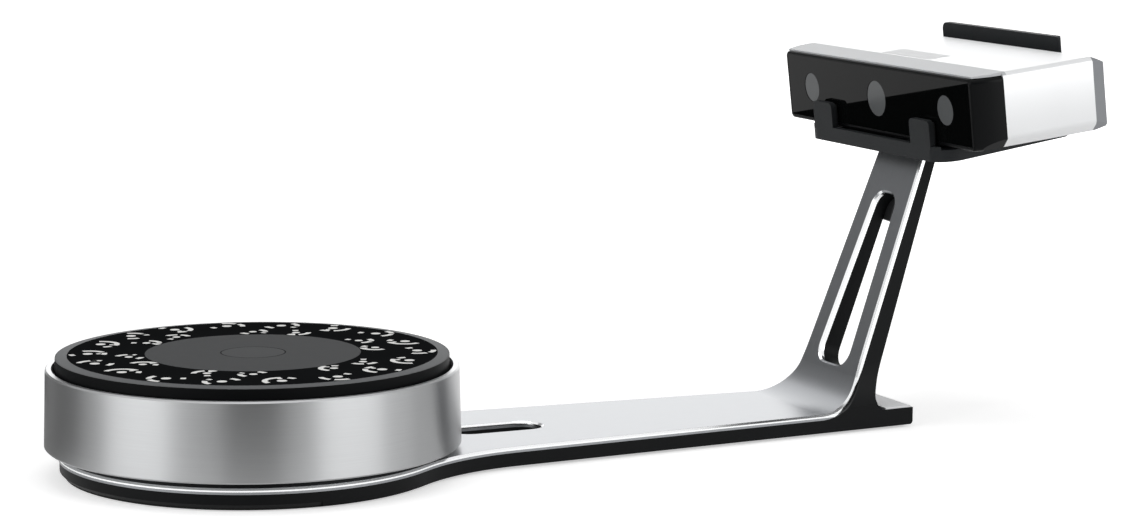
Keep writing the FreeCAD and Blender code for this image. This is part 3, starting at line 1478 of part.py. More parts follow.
def front_bezel():
    """Black front of the head: recess for the dark pane and three openings for the optics."""
    plan = bezel_plan("BezelPlan", "0", "head_bottom", "brow_low")
    section = shell_length("BezelSection", "0", "0", "sleeve_front")
    solid = doc.addObject("Part::Fillet", "BezelRounded")
    solid.Base = common("BezelSolid", [plan, section])
    doc.recompute()
    solid.Edges = bezel_rounds(solid.Base.Shape)
    hollow = common("BezelHollow", [
        bezel_plan("BezelRoom", "bezel_wall", "head_bottom", "brow_low"),
        shell_length("BezelRoomSection", "bezel_wall", "bezel_front_wall", "sleeve_front"),
    ])
    tools = [hollow, wide_box("PaneRecess", ("0", "pane_thickness + pane_gap"), "pane_half_width",
                              ("pane_bottom", "pane_top"))]
    tools += lens_rods("BezelHole", "barrel_hole_radius", "barrel_hole_radius", "0", "bezel_front_wall")
    keep_in_head("front_bezel", cut("FrontBezel", solid, tools))


def bezel_rounds(shape):
    """Edges round the bezel's face and along its four corners, with their radii."""
    face_round = number("bezel_edge_round")
    side_round = number("bezel_side_round")
    rounds = []
    for count, edge in enumerate(shape.Edges, 1):
        if edge.BoundBox.XMax < 1e-3:
            rounds.append((count, face_round, face_round))
        elif edge.BoundBox.XMin < 1e-3:
            rounds.append((count, side_round, side_round))
    return rounds


def lens_rods(name, camera_radius, projector_radius, start, end):
    """Rods along the view direction at the two cameras and at the projector between them."""
    rods = []
    for side, y, radius in (("Left", "camera_offset", camera_radius),
                            ("Right", "-camera_offset", camera_radius),
                            ("Middle", "0", projector_radius)):
        rods.append(rod(name + side, radius, (start, y, "optics_level"),
                        "(%s) - (%s)" % (end, start), axis="X"))
    return rods


def brow_strip():
    """Light grey strip that slopes down over the bezel to a thin black rim."""
    profile = side_view("BrowProfile", [
        ("brow_front", "brow_low"),
        ("brow_rear", "brow_low"),
        ("brow_rear", "head_top"),
        ("brow_front", "brow_front_top"),
    ], "head_half_width")
    plan = fuse("BrowPlan", [
        bezel_plan("BrowFront", "brow_inset", "brow_low", "head_top"),
        wide_box("BrowRear", ("sleeve_front", "brow_rear"), "head_half_width", ("brow_low", "head_top")),
    ])
    section = outer_length("BrowSection", "0", "brow_rear")
    keep_in_head("brow_strip", common("BrowStrip", [profile, plan, section]))


def rear_cap():
    """Grey rear cap that tapers towards the back, with openings for the ports and the button."""
    section = outer_length("CapSection", "sleeve_rear", "cap_rear")
    plan = prism("CapPlan", "XY_Plane", mirrored([
        ("sleeve_rear", "head_half_width"),
        ("cap_rear", "cap_rear_half_width"),
    ]), "head_bottom", "head_top")
    profile = side_view("CapProfile", [
        ("sleeve_rear", "head_bottom"),
        ("cap_rear", "cap_rear_bottom"),
        ("cap_rear", "cap_rear_top"),
        ("sleeve_rear", "head_top"),
    ], "head_half_width")
    solid = common("CapSolid", [section, plan, profile])
    room = shell_length("CapRoom", "cap_wall + shell_thickness", "sleeve_rear", "cap_rear - cap_wall")
    bosses = common("CapBosses", [
        group("CapBossRods", corner_bosses("CapBoss", "boss_radius", "sleeve_rear", "cap_rear")), solid])
    tools = corner_bosses("CapScrewHole", "m3_radius + hole_gap", "sleeve_rear", "cap_rear")
    tools += corner_bosses("CapHeadHole", "m3_head_radius + hole_gap", "cap_rear - m3_head", "cap_rear")
    for name, centre, half_width, height in PORTS:
        tools.append(box(name + "Gap", ("sleeve_rear", "cap_rear"),
                         ("%s - %s - socket_gap" % (centre, half_width),
                          "%s + %s + socket_gap" % (centre, half_width)),
                         ("port_level - %s / 2 - socket_gap" % height,
                          "port_level + %s / 2 + socket_gap" % height)))
    tools.append(rod("ButtonHole", "button_radius + button_gap",
                     ("sleeve_rear", "button_centre", "port_level"), "cap_rear - sleeve_rear", axis="X"))
    hollow = cut("CapHollow", solid, [room])
    keep_in_head("rear_cap", cut("RearCap", fuse("CapWhole", [hollow, bosses]), tools))


# Sockets at the rear of the head: name, centre, half width and height.
PORTS = [
    ("UsbSocket", "usb_centre", "usb_half_width", "usb_height"),
    ("PowerJack", "jack_centre", "jack_half_width", "jack_height"),
    ("HeadLinkSocket", "head_link_centre", "link_half_width", "link_height"),
]


def head_sockets():
    """Data, power and turntable sockets behind the openings of the rear cap."""
    labels = ("usb_socket", "power_jack", "head_link_socket")
    for label, (name, centre, half_width, height) in zip(labels, PORTS):
        level = ("port_level - %s / 2" % height, "port_level + %s / 2" % height)
        reach = ("port_start", "port_end")
        if label == "power_jack":
            shell = box(name + "Shell", reach, ("%s - %s" % (centre, half_width),
                                                "%s + %s" % (centre, half_width)), level)
            bore = rod(name + "Bore", "jack_bore", ("sleeve_rear - cap_wall", centre, "port_level"),
                       "cap_rear - sleeve_rear + cap_wall", axis="X")
            keep_in_head(label, cut(name, shell, [bore]))
        else:
            keep_in_head(label, socket(name, half_width, reach, level, along="X", across=centre))


def power_button():
    """Round push button held behind the cap by its flange, with its switch on the main board."""
    flange_end = "(cap_rear - cap_wall - button_flange_gap)"
    flange_start = "(%s - button_flange)" % flange_end
    stem = rod("ButtonStem", "button_radius", (flange_start, "button_centre", "port_level"),
               "button_end - " + flange_start, axis="X")
    flange = rod("ButtonFlange", "button_flange_radius", (flange_start, "button_centre", "port_level"),
                 "button_flange", axis="X")
    keep_in_head("power_button", fuse("PowerButton", [stem, flange]))
    switch_end = "(%s - button_travel - button_flange_gap)" % flange_start
    keep_in_head("power_switch", box(
        "PowerSwitch", ("main_board_start + board_thickness", switch_end),
        ("button_centre - switch_half_width", "button_centre + switch_half_width"),
        ("port_level - switch_half_width", "port_level + switch_half_width")))


head_sleeve()
front_bezel()
brow_strip()
rear_cap()
head_sockets()
power_button()
keep_in_head("badge_plate", wide_box("BadgePlate", ("badge_start", "badge_end"), "badge_half_width",
                                     ("head_top + badge_proud - badge_thickness",
                                      "head_top + badge_proud")))
keep_in_head("head_screws", group("HeadScrews", [
    fuse("HeadScrew%d" % index, list(pair)) for index, pair in enumerate(zip(
        corner_bosses("HeadScrewHead", "m3_head_radius", "cap_rear - m3_head", "cap_rear"),
        corner_bosses("HeadScrewShank", "m3_radius", "sleeve_rear - boss_length + hole_gap",
                      "cap_rear - m3_head")))]))


def tripod_insert():
    """Brass insert in the head's floor with a threaded bore for a tripod screw."""
    low = "head_bottom"
    flange_low = "(head_bottom + shell_thickness)"
    insert = fuse("TripodSolid", [
        rod("TripodBarrel", "tripod_radius", ("tripod_centre", "0", low), "tripod_height"),
        rod("TripodFlange", "tripod_flange_radius", ("tripod_centre", "0", flange_low), "tripod_flange"),
    ])
    bore = rod("TripodBore", "tripod_bore", ("tripod_centre", "0", low), "tripod_height - tripod_flange")
    keep_in_head("tripod_insert", cut("TripodInsert", insert, [bore]))


tripod_insert()


# ---------------------------------------------------------------- optics and electronics

def optics():
    """Dark front pane with three round windows, two cameras and a pattern projector."""
    pane = wide_box("Pane", ("0", "pane_thickness"), "pane_half_width - pane_gap",
                    ("pane_bottom + pane_gap", "pane_top - pane_gap"))
    keep_in_head("front_window", cut("FrontWindow", pane, lens_rods(
        "PaneHole", "camera_window_radius + pane_gap", "projector_window_radius + pane_gap",
        "0", "pane_thickness")))
    windows = lens_rods("Window", "camera_window_radius", "projector_window_radius",
                        "pane_thickness - window_thickness", "pane_thickness")
    keep_in_head("camera_windows", group("CameraWindows", windows[:2]))
    keep_in_head("projector_window", windows[2])
    barrels = lens_rods("Barrel", "camera_barrel_radius", "projector_barrel_radius",
                        "barrel_start", "frame_start")
    recesses = lens_rods("BarrelRecess", "camera_barrel_radius - lens_inset",
                         "projector_barrel_radius - lens_inset", "barrel_start",
                         "barrel_start + lens_depth + lens_thickness")
    lenses = lens_rods("Lens", "camera_barrel_radius - lens_inset", "projector_barrel_radius - lens_inset",
                       "barrel_start + lens_depth", "barrel_start + lens_depth + lens_thickness")
    keep_in_head("lenses", group("Lenses", lenses))
    cameras = []
    for index, sign in enumerate(("", "-")):
        block = box("CameraBlock%d" % index, ("camera_block_start", "frame_start"),
                    (sign + "camera_offset - camera_block / 2", sign + "camera_offset + camera_block / 2"),
                    ("optics_level - camera_block / 2", "optics_level + camera_block / 2"))
        cameras.append(cut("Camera%d" % index, fuse("CameraSolid%d" % index, [block, barrels[index]]),
                           [recesses[index]]))
    keep_in_head("camera_modules", group("CameraModules", cameras))
    engine = wide_box("ProjectorBlock", ("projector_block_start", "projector_block_end"),
                      "projector_block_width / 2",
                      ("optics_level - projector_block_height / 2",
                       "optics_level + projector_block_height / 2"))
    keep_in_head("projector_module", cut("ProjectorModule", fuse("ProjectorSolid", [engine, barrels[2]]),
                                         [recesses[2]]))
    plate = wide_box("FramePlate", ("frame_start", "frame_start + frame_thickness"),
                     "frame_half_width", ("head_bottom + shell_thickness", "frame_top"))
    opening = wide_box("FrameOpening", ("frame_start", "frame_start + frame_thickness"),
                       "projector_block_width / 2 + socket_gap",
                       ("optics_level - projector_block_height / 2 - socket_gap",
                        "optics_level + projector_block_height / 2 + socket_gap"))
    keep_in_head("optical_frame", cut("OpticalFrame", plate, [opening]))


def head_electronics():
    """Main board on spacers behind the optical frame, and a finned heat sink on its chip."""
    board_end = "(main_board_start + board_thickness)"
    keep_in_head("main_board", wide_box("MainBoard", ("main_board_start", board_end),
                                        "main_board_half_width", ("main_board_low", "main_board_high")))
    spacers = []
    for index, (sign, z) in enumerate((sign, z) for sign in ("", "-")
                                      for z in ("spacer_low", "spacer_high")):
        spacers.append(rod("Spacer%d" % index, "spacer_radius",
                           ("frame_start + frame_thickness", sign + "spacer_offset", z),
                           "main_board_start - frame_start - frame_thickness", axis="X"))
    keep_in_head("board_spacers", group("BoardSpacers", spacers))
    level = ("spacer_low", "spacer_high")
    span = ("sink_centre - sink_half_width", "sink_centre + sink_half_width")
    chip = box("SinkChip", (board_end, "sink_start"), span, level)
    base = box("SinkBase", ("sink_start", "sink_start + sink_base"), span, level)
    fins = []
    for index in range(-3, 4):
        middle = "(sink_centre + %d * sink_pitch)" % index
        fins.append(box("SinkFin%d" % (index + 3), ("sink_start", "sink_start + sink_base + sink_depth"),
                        (middle + " - sink_fin / 2", middle + " + sink_fin / 2"), level))
    keep_in_head("heat_sink", fuse("HeatSink", [chip, base] + fins))


optics()
head_electronics()


# ---------------------------------------------------------------- writing

doc.recompute()
os.makedirs("parts", exist_ok=True)
for item in doc.Objects:
    if "Invalid" in item.State or "Error" in item.State:
        raise RuntimeError("%s failed: %s" % (item.Name, item.State))
for piece in NODES:
    if piece.Shape.isNull() or not piece.Shape.isValid():
        raise RuntimeError("%s has no valid shape" % piece.Label)
    piece.Shape.exportStep("parts/%s.step" % piece.Label)
    print(piece.Label, len(piece.Shape.Solids), round(piece.Shape.Volume, 1))
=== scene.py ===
import math

import bpy
from mathutils import Matrix, Vector


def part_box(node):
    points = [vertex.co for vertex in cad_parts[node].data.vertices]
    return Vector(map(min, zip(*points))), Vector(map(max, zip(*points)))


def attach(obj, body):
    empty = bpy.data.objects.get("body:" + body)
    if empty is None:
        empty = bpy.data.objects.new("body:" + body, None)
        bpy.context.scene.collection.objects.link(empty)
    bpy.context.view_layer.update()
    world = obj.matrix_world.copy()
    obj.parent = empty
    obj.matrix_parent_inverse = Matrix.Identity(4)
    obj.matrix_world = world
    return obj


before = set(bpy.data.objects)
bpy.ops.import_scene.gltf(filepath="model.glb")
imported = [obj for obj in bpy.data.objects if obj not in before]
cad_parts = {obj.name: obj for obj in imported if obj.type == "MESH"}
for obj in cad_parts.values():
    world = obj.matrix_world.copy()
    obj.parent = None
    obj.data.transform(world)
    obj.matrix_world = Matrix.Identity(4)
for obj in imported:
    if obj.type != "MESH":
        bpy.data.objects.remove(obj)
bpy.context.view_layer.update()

MM = 0.001

# Places on the CAD solids that the finishes and the print follow, in metres.
CAP_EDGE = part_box("centre_cap")[1].x
PRINT_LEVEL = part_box("marker_ring")[1].z
PLATE_TOP = 11.2 * MM
PLATE_EDGE_MIDDLE = 10.2 * MM
PLATE_EDGE_REACH = 0.85 * MM
RIM_SLOPE_FOOT = 59.45 * MM
RIM_SLOPE_HEAD = 59.7 * MM
HEAD_MIDDLE = (0.35816, 0.0, 0.185)
HEAD_UP = (-0.11494, 0.0, 0.99337)
# The belly of the shell's sides is a parabola in the height off the head's middle. This is its
# depth in metres at one metre, so it is a little under 2 mm at their edges.
SIDE_BELLY = 4.6

# ---------------------------------------------------------------- colours and nodes


def linear(code):
    """An sRGB hex colour as the linear colour that a shader works in."""
    channels = [int(code[start:start + 2], 16) / 255 for start in (1, 3, 5)]
    light = [c / 12.92 if c <= 0.04045 else ((c + 0.055) / 1.055) ** 2.4 for c in channels]
    return (*light, 1.0)


def add_node(tree, kind, settings=None, inputs=None):
    """Adds a node with its settings.

    An input takes a value, an output, or a node for that node's first output.
    """
    node = tree.nodes.new(kind)
    for name, value in (settings or {}).items():
        setattr(node, name, value)
    for socket, value in (inputs or {}).items():
        if isinstance(value, bpy.types.Node):
            value = value.outputs[0]
        if isinstance(value, bpy.types.NodeSocket):
            tree.links.new(value, node.inputs[socket])
        else:
            node.inputs[socket].default_value = value
    return node


def start_material(name, **finish):
    """A new material with its shader, and the object's own coordinates in metres."""
    material = bpy.data.materials.new(name)
    material.use_nodes = True
    tree = material.node_tree
    shader = tree.nodes["Principled BSDF"]
    for socket, value in finish.items():
        shader.inputs[socket.replace("_", " ")].default_value = value
    place = add_node(tree, "ShaderNodeTexCoord").outputs["Object"]
    return material, tree, shader, place


def surface(tree, shader, tint, shine, skin=None):
    """Links a finish's colour, roughness and relief to its shader."""
    tree.links.new(tint.outputs[0], shader.inputs["Base Color"])
    tree.links.new(shine.outputs[0], shader.inputs["Roughness"])
    if skin:
        tree.links.new(skin.outputs["Normal"], shader.inputs["Normal"])


# ---------------------------------------------------------------- metals

BRIGHT_CUT = "#F1F2F3"
BRIGHT_CUT_ROUGHNESS = 0.18
# How far the normal of a wall leans sideways, at least, where the wall counts as an edge.
SIDE_LEAN = 0.25
# Length that a radian of the turned wall counts for in its pattern.
ROUND_DRIFT = 1.5 * MM


def brushed_aluminium(name, dark, light, roughness, stretch, line):
    """Brushed and clear anodised aluminium: fine lines one way that spread the light across them.

    The lines are drawn 0.4 mm apart, where real ones are 0.1 mm, so that they show. The plate's
    edges are cut bright with a diamond tool and stay smooth: round the disc and arm they are found
    by height, and on the column above them by the walls that face sideways.
    """
    material, tree, shader, place = start_material(name, Metallic=1.0)
    along = add_node(tree, "ShaderNodeMapping", inputs={"Vector": place, "Scale": stretch})
    lines = add_node(tree, "ShaderNodeTexNoise", inputs={
        "Vector": along, "Scale": 1 / line, "Detail": 3.0})
    height = add_node(tree, "ShaderNodeSeparateXYZ", inputs={"Vector": place}).outputs["Z"]
    rim = add_node(tree, "ShaderNodeMath", {"operation": "COMPARE"}, {
        0: height, 1: PLATE_EDGE_MIDDLE, 2: PLATE_EDGE_REACH})
    normal = add_node(tree, "ShaderNodeNewGeometry").outputs["Normal"]
    sideways = add_node(tree, "ShaderNodeSeparateXYZ", inputs={"Vector": normal}).outputs["Y"]
    slope = add_node(tree, "ShaderNodeMath", {"operation": "ABSOLUTE"}, {0: sideways})
    wall = add_node(tree, "ShaderNodeMath", {"operation": "GREATER_THAN"}, {0: slope, 1: SIDE_LEAN})
    upper = add_node(tree, "ShaderNodeMath", {"operation": "GREATER_THAN"}, {
        0: height, 1: PLATE_TOP})
    column = add_node(tree, "ShaderNodeMath", {"operation": "MULTIPLY"}, {0: wall, 1: upper})
    edge = add_node(tree, "ShaderNodeMath", {"operation": "MAXIMUM"}, {0: rim, 1: column})
    brushed = add_node(tree, "ShaderNodeMixRGB", inputs={
        "Fac": lines, "Color1": linear(dark), "Color2": linear(light)})
    tint = add_node(tree, "ShaderNodeMixRGB", inputs={
        "Fac": edge, "Color1": brushed, "Color2": linear(BRIGHT_CUT)})
    haze = add_node(tree, "ShaderNodeMapRange", inputs={
        "Value": lines, "To Min": roughness - 0.05, "To Max": roughness + 0.05})
    shine = add_node(tree, "ShaderNodeMapRange", inputs={
        "Value": edge, "To Min": haze, "To Max": BRIGHT_CUT_ROUGHNESS})
    skin = add_node(tree, "ShaderNodeBump", inputs={"Height": lines, "Distance": 0.004 * MM})
    surface(tree, shader, tint, shine, skin)
    return material


def turned_aluminium(name, dark, light, roughness):
    """Lathe-brushed anodised aluminium: lines run round the wall, so light stands in upright bands.

    The lines are drawn 0.5 mm apart up the wall, where real ones are 0.1 mm, so that they show.
    Round the wall they change slowly, as if a whole radian of it were only 1.5 mm long.
    """
    material, tree, shader, place = start_material(
        name, Metallic=1.0, Anisotropic=0.8, Anisotropic_Rotation=0.25)
    axes = add_node(tree, "ShaderNodeSeparateXYZ", inputs={"Vector": place}).outputs
    turn = add_node(tree, "ShaderNodeMath", {"operation": "ARCTAN2"}, {0: axes["Y"], 1: axes["X"]})
    slow = add_node(tree, "ShaderNodeMath", {"operation": "MULTIPLY"}, {
        0: turn, 1: ROUND_DRIFT})
    round_place = add_node(tree, "ShaderNodeCombineXYZ", inputs={"X": slow, "Z": axes["Z"]})
    lines = add_node(tree, "ShaderNodeTexNoise", inputs={
        "Vector": round_place, "Scale": 1 / (0.5 * MM), "Detail": 2.0})
    tint = add_node(tree, "ShaderNodeMixRGB", inputs={
        "Fac": lines, "Color1": linear(dark), "Color2": linear(light)})
    shine = add_node(tree, "ShaderNodeMapRange", inputs={
        "Value": lines, "To Min": roughness - 0.03, "To Max": roughness + 0.03})
    tangent = add_node(tree, "ShaderNodeTangent", {"direction_type": "RADIAL", "axis": "Z"})
    tree.links.new(tangent.outputs["Tangent"], shader.inputs["Tangent"])
    surface(tree, shader, tint, shine)
    return material


def machined_metal(name, dark, light, roughness, mark=0.8):
    """Plain machined or plated metal: faint tool marks and a slightly uneven shine.

    The marks are drawn 0.4 to 0.8 mm apart, where real ones are 0.1 mm, so that they show.
    """
    material, tree, shader, place = start_material(name, Metallic=1.0)
    marks = add_node(tree, "ShaderNodeTexNoise", inputs={
        "Vector": place, "Scale": 1 / (mark * MM), "Detail": 3.0})
    cloud = add_node(tree, "ShaderNodeTexNoise", inputs={"Vector": place, "Scale": 1 / (12 * MM)})
    tint = add_node(tree, "ShaderNodeMixRGB", inputs={
        "Fac": cloud, "Color1": linear(dark), "Color2": linear(light)})
    shine = add_node(tree, "ShaderNodeMapRange", inputs={
        "Value": marks, "To Min": roughness - 0.06, "To Max": roughness + 0.09})
    skin = add_node(tree, "ShaderNodeBump", inputs={"Height": marks, "Distance": 0.008 * MM})
    surface(tree, shader, tint, shine, skin)
    return material


# ---------------------------------------------------------------- plastics, coats, rubber and glass

TINT_DRIFT = 35 * MM
# Reach and colour of the painted shade: a dark ring drawn in the groove round the centre cap.
GROOVE_SHADE_REACH = 0.4 * MM
GROOVE_PAINTED_SHADE = "#1A1B1C"


def moulded_plastic(name, dark, light, roughness, grit=0.6, depth=0.02, specular=0.5):
    """Moulded plastic: a spark-eroded grain in the skin, with slow changes in colour and shine.

    The grain is drawn 0.6 to 0.8 mm wide, where a real one is 0.1 to 0.3 mm, so that it shows.
    """
    material, tree, shader, place = start_material(name, IOR=1.53, Specular_IOR_Level=specular)
    grain = add_node(tree, "ShaderNodeTexNoise", inputs={
        "Vector": place, "Scale": 1 / (grit * MM), "Detail": 3.0})
    cloud = add_node(tree, "ShaderNodeTexNoise", inputs={"Vector": place, "Scale": 1 / TINT_DRIFT})
    tint = add_node(tree, "ShaderNodeMixRGB", inputs={
        "Fac": cloud, "Color1": linear(dark), "Color2": linear(light)})
    shine = add_node(tree, "ShaderNodeMapRange", inputs={
        "Value": grain, "To Min": roughness - 0.06, "To Max": roughness + 0.07})
    skin = add_node(tree, "ShaderNodeBump", inputs={"Height": grain, "Distance": depth * MM})
    surface(tree, shader, tint, shine, skin)
    return material


def powder_coat(name, dark, light, roughness, specular):
    """Powder coat baked on aluminium: it flows out to a fine, even orange peel 0.8 mm across."""
    material, tree, shader, place = start_material(name, IOR=1.5, Specular_IOR_Level=specular)
    peel = add_node(tree, "ShaderNodeTexNoise", inputs={
        "Vector": place, "Scale": 1 / (0.8 * MM), "Detail": 1.0})
    cloud = add_node(tree, "ShaderNodeTexNoise", inputs={"Vector": place, "Scale": 1 / TINT_DRIFT})
    tint = add_node(tree, "ShaderNodeMixRGB", inputs={
        "Fac": cloud, "Color1": linear(dark), "Color2": linear(light)})
    shine = add_node(tree, "ShaderNodeMapRange", inputs={
        "Value": peel, "To Min": roughness - 0.06, "To Max": roughness + 0.07})
    skin = add_node(tree, "ShaderNodeBump", inputs={"Height": peel, "Distance": 0.012 * MM})
    surface(tree, shader, tint, shine, skin)
    return material


def printed_film(name, dark, light, roughness):
    """Screen-printed polyester film: flat and matt, so that a camera reads the marks from low down.

    Its tone and shine drift over about 20 mm, as the ink's thickness does.
    """
    material, tree, shader, place = start_material(name, IOR=1.5, Specular_IOR_Level=0.0)
    cloud = add_node(tree, "ShaderNodeTexNoise", inputs={
        "Vector": place, "Scale": 1 / (20 * MM), "Detail": 3.0})
    tint = add_node(tree, "ShaderNodeMixRGB", inputs={
        "Fac": cloud, "Color1": linear(dark), "Color2": linear(light)})
    shine = add_node(tree, "ShaderNodeMapRange", inputs={
        "Value": cloud, "To Min": roughness - 0.05, "To Max": roughness + 0.05})
    surface(tree, shader, tint, shine)
    return material


def rubber(name, dark, light, roughness, grit=0.9):
    """Silicone rubber: matt and faintly pebbled, with a little dust in the hollows.

    The pebbles are drawn 0.6 to 0.9 mm wide, where real ones are 0.3 mm, so that they show. Round
    the centre cap the rubber goes down into a narrow groove, whose shade is painted in as a dark
    ring.
    """
    material, tree, shader, place = start_material(name, IOR=1.42, Specular_IOR_Level=0.02)
    pebbles = add_node(tree, "ShaderNodeTexVoronoi", {"feature": "SMOOTH_F1"}, {
        "Vector": place, "Scale": 1 / (grit * MM)})
    dust = add_node(tree, "ShaderNodeTexNoise", inputs={
        "Vector": place, "Scale": 1 / (9 * MM), "Detail": 4.0})
    dusted = add_node(tree, "ShaderNodeMixRGB", inputs={
        "Fac": dust, "Color1": linear(dark), "Color2": linear(light)})
    flat = add_node(tree, "ShaderNodeVectorMath", {"operation": "MULTIPLY"}, {
        0: place, 1: (1, 1, 0)})
    reach = add_node(tree, "ShaderNodeVectorMath", {"operation": "LENGTH"}, {0: flat})
    # Painted shade: a thin ring at the centre cap's edge is drawn dark, as the shade in its groove.
    groove = add_node(tree, "ShaderNodeMath", {"operation": "COMPARE"}, {
        0: reach.outputs["Value"], 1: CAP_EDGE, 2: GROOVE_SHADE_REACH})
    tint = add_node(tree, "ShaderNodeMixRGB", inputs={
        "Fac": groove, "Color1": dusted, "Color2": linear(GROOVE_PAINTED_SHADE)})
    shine = add_node(tree, "ShaderNodeMapRange", inputs={
        "Value": dust, "To Min": roughness - 0.06, "To Max": roughness + 0.08})
    skin = add_node(tree, "ShaderNodeBump", inputs={"Height": pebbles, "Distance": 0.03 * MM})
    surface(tree, shader, tint, shine, skin)
    return material


def coated_glass(name, dark, light, specular, roughness=0.04):
    """Smoked and coated glass: nearly mirror smooth, with a faint haze where it was wiped.

    The wiped strokes are about 25 mm wide.
    """
    material, tree, shader, place = start_material(name, IOR=1.5, Specular_IOR_Level=specular)
    haze = add_node(tree, "ShaderNodeTexNoise", inputs={
        "Vector": place, "Scale": 1 / (25 * MM), "Detail": 3.0})
    tint = add_node(tree, "ShaderNodeMixRGB", inputs={
        "Fac": haze, "Color1": linear(dark), "Color2": linear(light)})
    shine = add_node(tree, "ShaderNodeMapRange", inputs={
        "Value": haze, "To Min": roughness, "To Max": roughness + 0.03})
    surface(tree, shader, tint, shine)
    return material


def painted_metal(name, dark, light, roughness, specular):
    """Satin lacquer on aluminium: a very low orange peel, 1.6 mm across, and an even shine."""
    material, tree, shader, place = start_material(name, IOR=1.5, Specular_IOR_Level=specular)
    peel = add_node(tree, "ShaderNodeTexNoise", inputs={
        "Vector": place, "Scale": 1 / (1.6 * MM)})
    cloud = add_node(tree, "ShaderNodeTexNoise", inputs={"Vector": place, "Scale": 1 / (50 * MM)})
    tint = add_node(tree, "ShaderNodeMixRGB", inputs={
        "Fac": cloud, "Color1": linear(dark), "Color2": linear(light)})
    shine = add_node(tree, "ShaderNodeMapRange", inputs={
        "Value": peel, "To Min": roughness - 0.04, "To Max": roughness + 0.05})
    skin = add_node(tree, "ShaderNodeBump", inputs={"Height": peel, "Distance": 0.006 * MM})
    surface(tree, shader, tint, shine, skin)
    return material


def pearl_shell(name, dark, light, roughness):
    """White pearl lacquer on a drawn aluminium sleeve: a soft metal shine, clouded over 50 mm.

    Its sides belly out by a little under 2 mm, which only turns the light on them.
    """
    material, tree, shader, place = start_material(name, IOR=1.5, Metallic=0.25)
    cloud = add_node(tree, "ShaderNodeTexNoise", inputs={"Vector": place, "Scale": 1 / (50 * MM)})
    tint = add_node(tree, "ShaderNodeMixRGB", inputs={
        "Fac": cloud, "Color1": linear(dark), "Color2": linear(light)})
    shine = add_node(tree, "ShaderNodeMapRange", inputs={
        "Value": cloud, "To Min": roughness - 0.04, "To Max": roughness + 0.05})
    from_middle = add_node(tree, "ShaderNodeVectorMath", {"operation": "SUBTRACT"}, {
        0: place, 1: HEAD_MIDDLE})
    up = add_node(tree, "ShaderNodeVectorMath", {"operation": "DOT_PRODUCT"}, {
        0: from_middle, 1: HEAD_UP})
    square = add_node(tree, "ShaderNodeMath", {"operation": "POWER"}, {
        0: up.outputs["Value"], 1: 2.0})
    belly = add_node(tree, "ShaderNodeBump", inputs={"Height": square, "Distance": -SIDE_BELLY})
    surface(tree, shader, tint, shine, belly)
    return material


def circuit_board(name):
    """Green solder mask on a glass-fibre board, with the copper tracks paler through it.

    The tracks are 0.3 mm wide in cells of 9 mm. The weave is drawn 3 mm wide, where a real one is
    0.5 mm, so that it shows.
    """
    material, tree, shader, place = start_material(
        name, IOR=1.55, Coat_Weight=0.4, Coat_Roughness=0.15)
    tracks = add_node(tree, "ShaderNodeTexBrick", {"offset": 0.37, "squash": 1.6}, {
        "Vector": place, "Scale": 1 / (9 * MM), "Color1": linear("#0E4A2C"),
        "Color2": linear("#124F31"), "Mortar": linear("#3E7A4A"), "Mortar Size": 0.035,
        "Brick Width": 0.9, "Row Height": 0.3})
    weave = add_node(tree, "ShaderNodeTexNoise", inputs={"Vector": place, "Scale": 1 / (3 * MM)})
    shine = add_node(tree, "ShaderNodeMapRange", inputs={
        "Value": weave, "To Min": 0.3, "To Max": 0.44})
    skin = add_node(tree, "ShaderNodeBump", inputs={
        "Height": tracks.outputs["Fac"], "Distance": 0.03 * MM})
    surface(tree, shader, tracks, shine, skin)
    return material


def bevelled_black(name):
    """Black moulded platter rim whose sloping edge grades from black at its foot to grey at its
    head.

    The grain is drawn 0.6 mm wide, where a real one is 0.1 to 0.3 mm, so that it shows.
    """
    material, tree, shader, place = start_material(name, IOR=1.53, Specular_IOR_Level=0.04)
    axes = add_node(tree, "ShaderNodeSeparateXYZ", inputs={"Vector": place}).outputs
    slope = add_node(tree, "ShaderNodeMapRange", inputs={
        "Value": axes["Z"], "From Min": RIM_SLOPE_FOOT, "From Max": RIM_SLOPE_HEAD})
    tint = add_node(tree, "ShaderNodeMixRGB", inputs={
        "Fac": slope, "Color1": linear("#0B0C0D"), "Color2": linear("#46484A")})
    grain = add_node(tree, "ShaderNodeTexNoise", inputs={
        "Vector": place, "Scale": 1 / (0.6 * MM), "Detail": 3.0})
    shine = add_node(tree, "ShaderNodeMapRange", inputs={
        "Value": grain, "To Min": 0.42, "To Max": 0.54})
    skin = add_node(tree, "ShaderNodeBump", inputs={"Height": grain, "Distance": 0.012 * MM})
    surface(tree, shader, tint, shine, skin)
    return material


def board_packages(name, tones):
    """Small electronic parts on a board: each block, about 6 mm wide, takes one package colour."""
    material, tree, shader, place = start_material(name, IOR=1.5)
    cells = add_node(tree, "ShaderNodeTexVoronoi", inputs={"Vector": place, "Scale": 1 / (6 * MM)})
    pick = add_node(tree, "ShaderNodeSeparateColor", inputs={"Color": cells.outputs["Color"]})
    tint = add_node(tree, "ShaderNodeValToRGB", inputs={"Fac": pick})
    tint.color_ramp.interpolation = "CONSTANT"
    while len(tint.color_ramp.elements) < len(tones):
        tint.color_ramp.elements.new(0.5)
    for index, (element, tone) in enumerate(zip(tint.color_ramp.elements, tones)):
        element.position = index / len(tones)
        element.color = linear(tone)
    grain = add_node(tree, "ShaderNodeTexNoise", inputs={"Vector": place, "Scale": 1 / (0.5 * MM)})
    shine = add_node(tree, "ShaderNodeMapRange", inputs={
        "Value": grain, "To Min": 0.34, "To Max": 0.46})
    skin = add_node(tree, "ShaderNodeBump", inputs={"Height": grain, "Distance": 0.01 * MM})
    surface(tree, shader, tint, shine, skin)
    return material


# ---------------------------------------------------------------- finish of every CAD piece

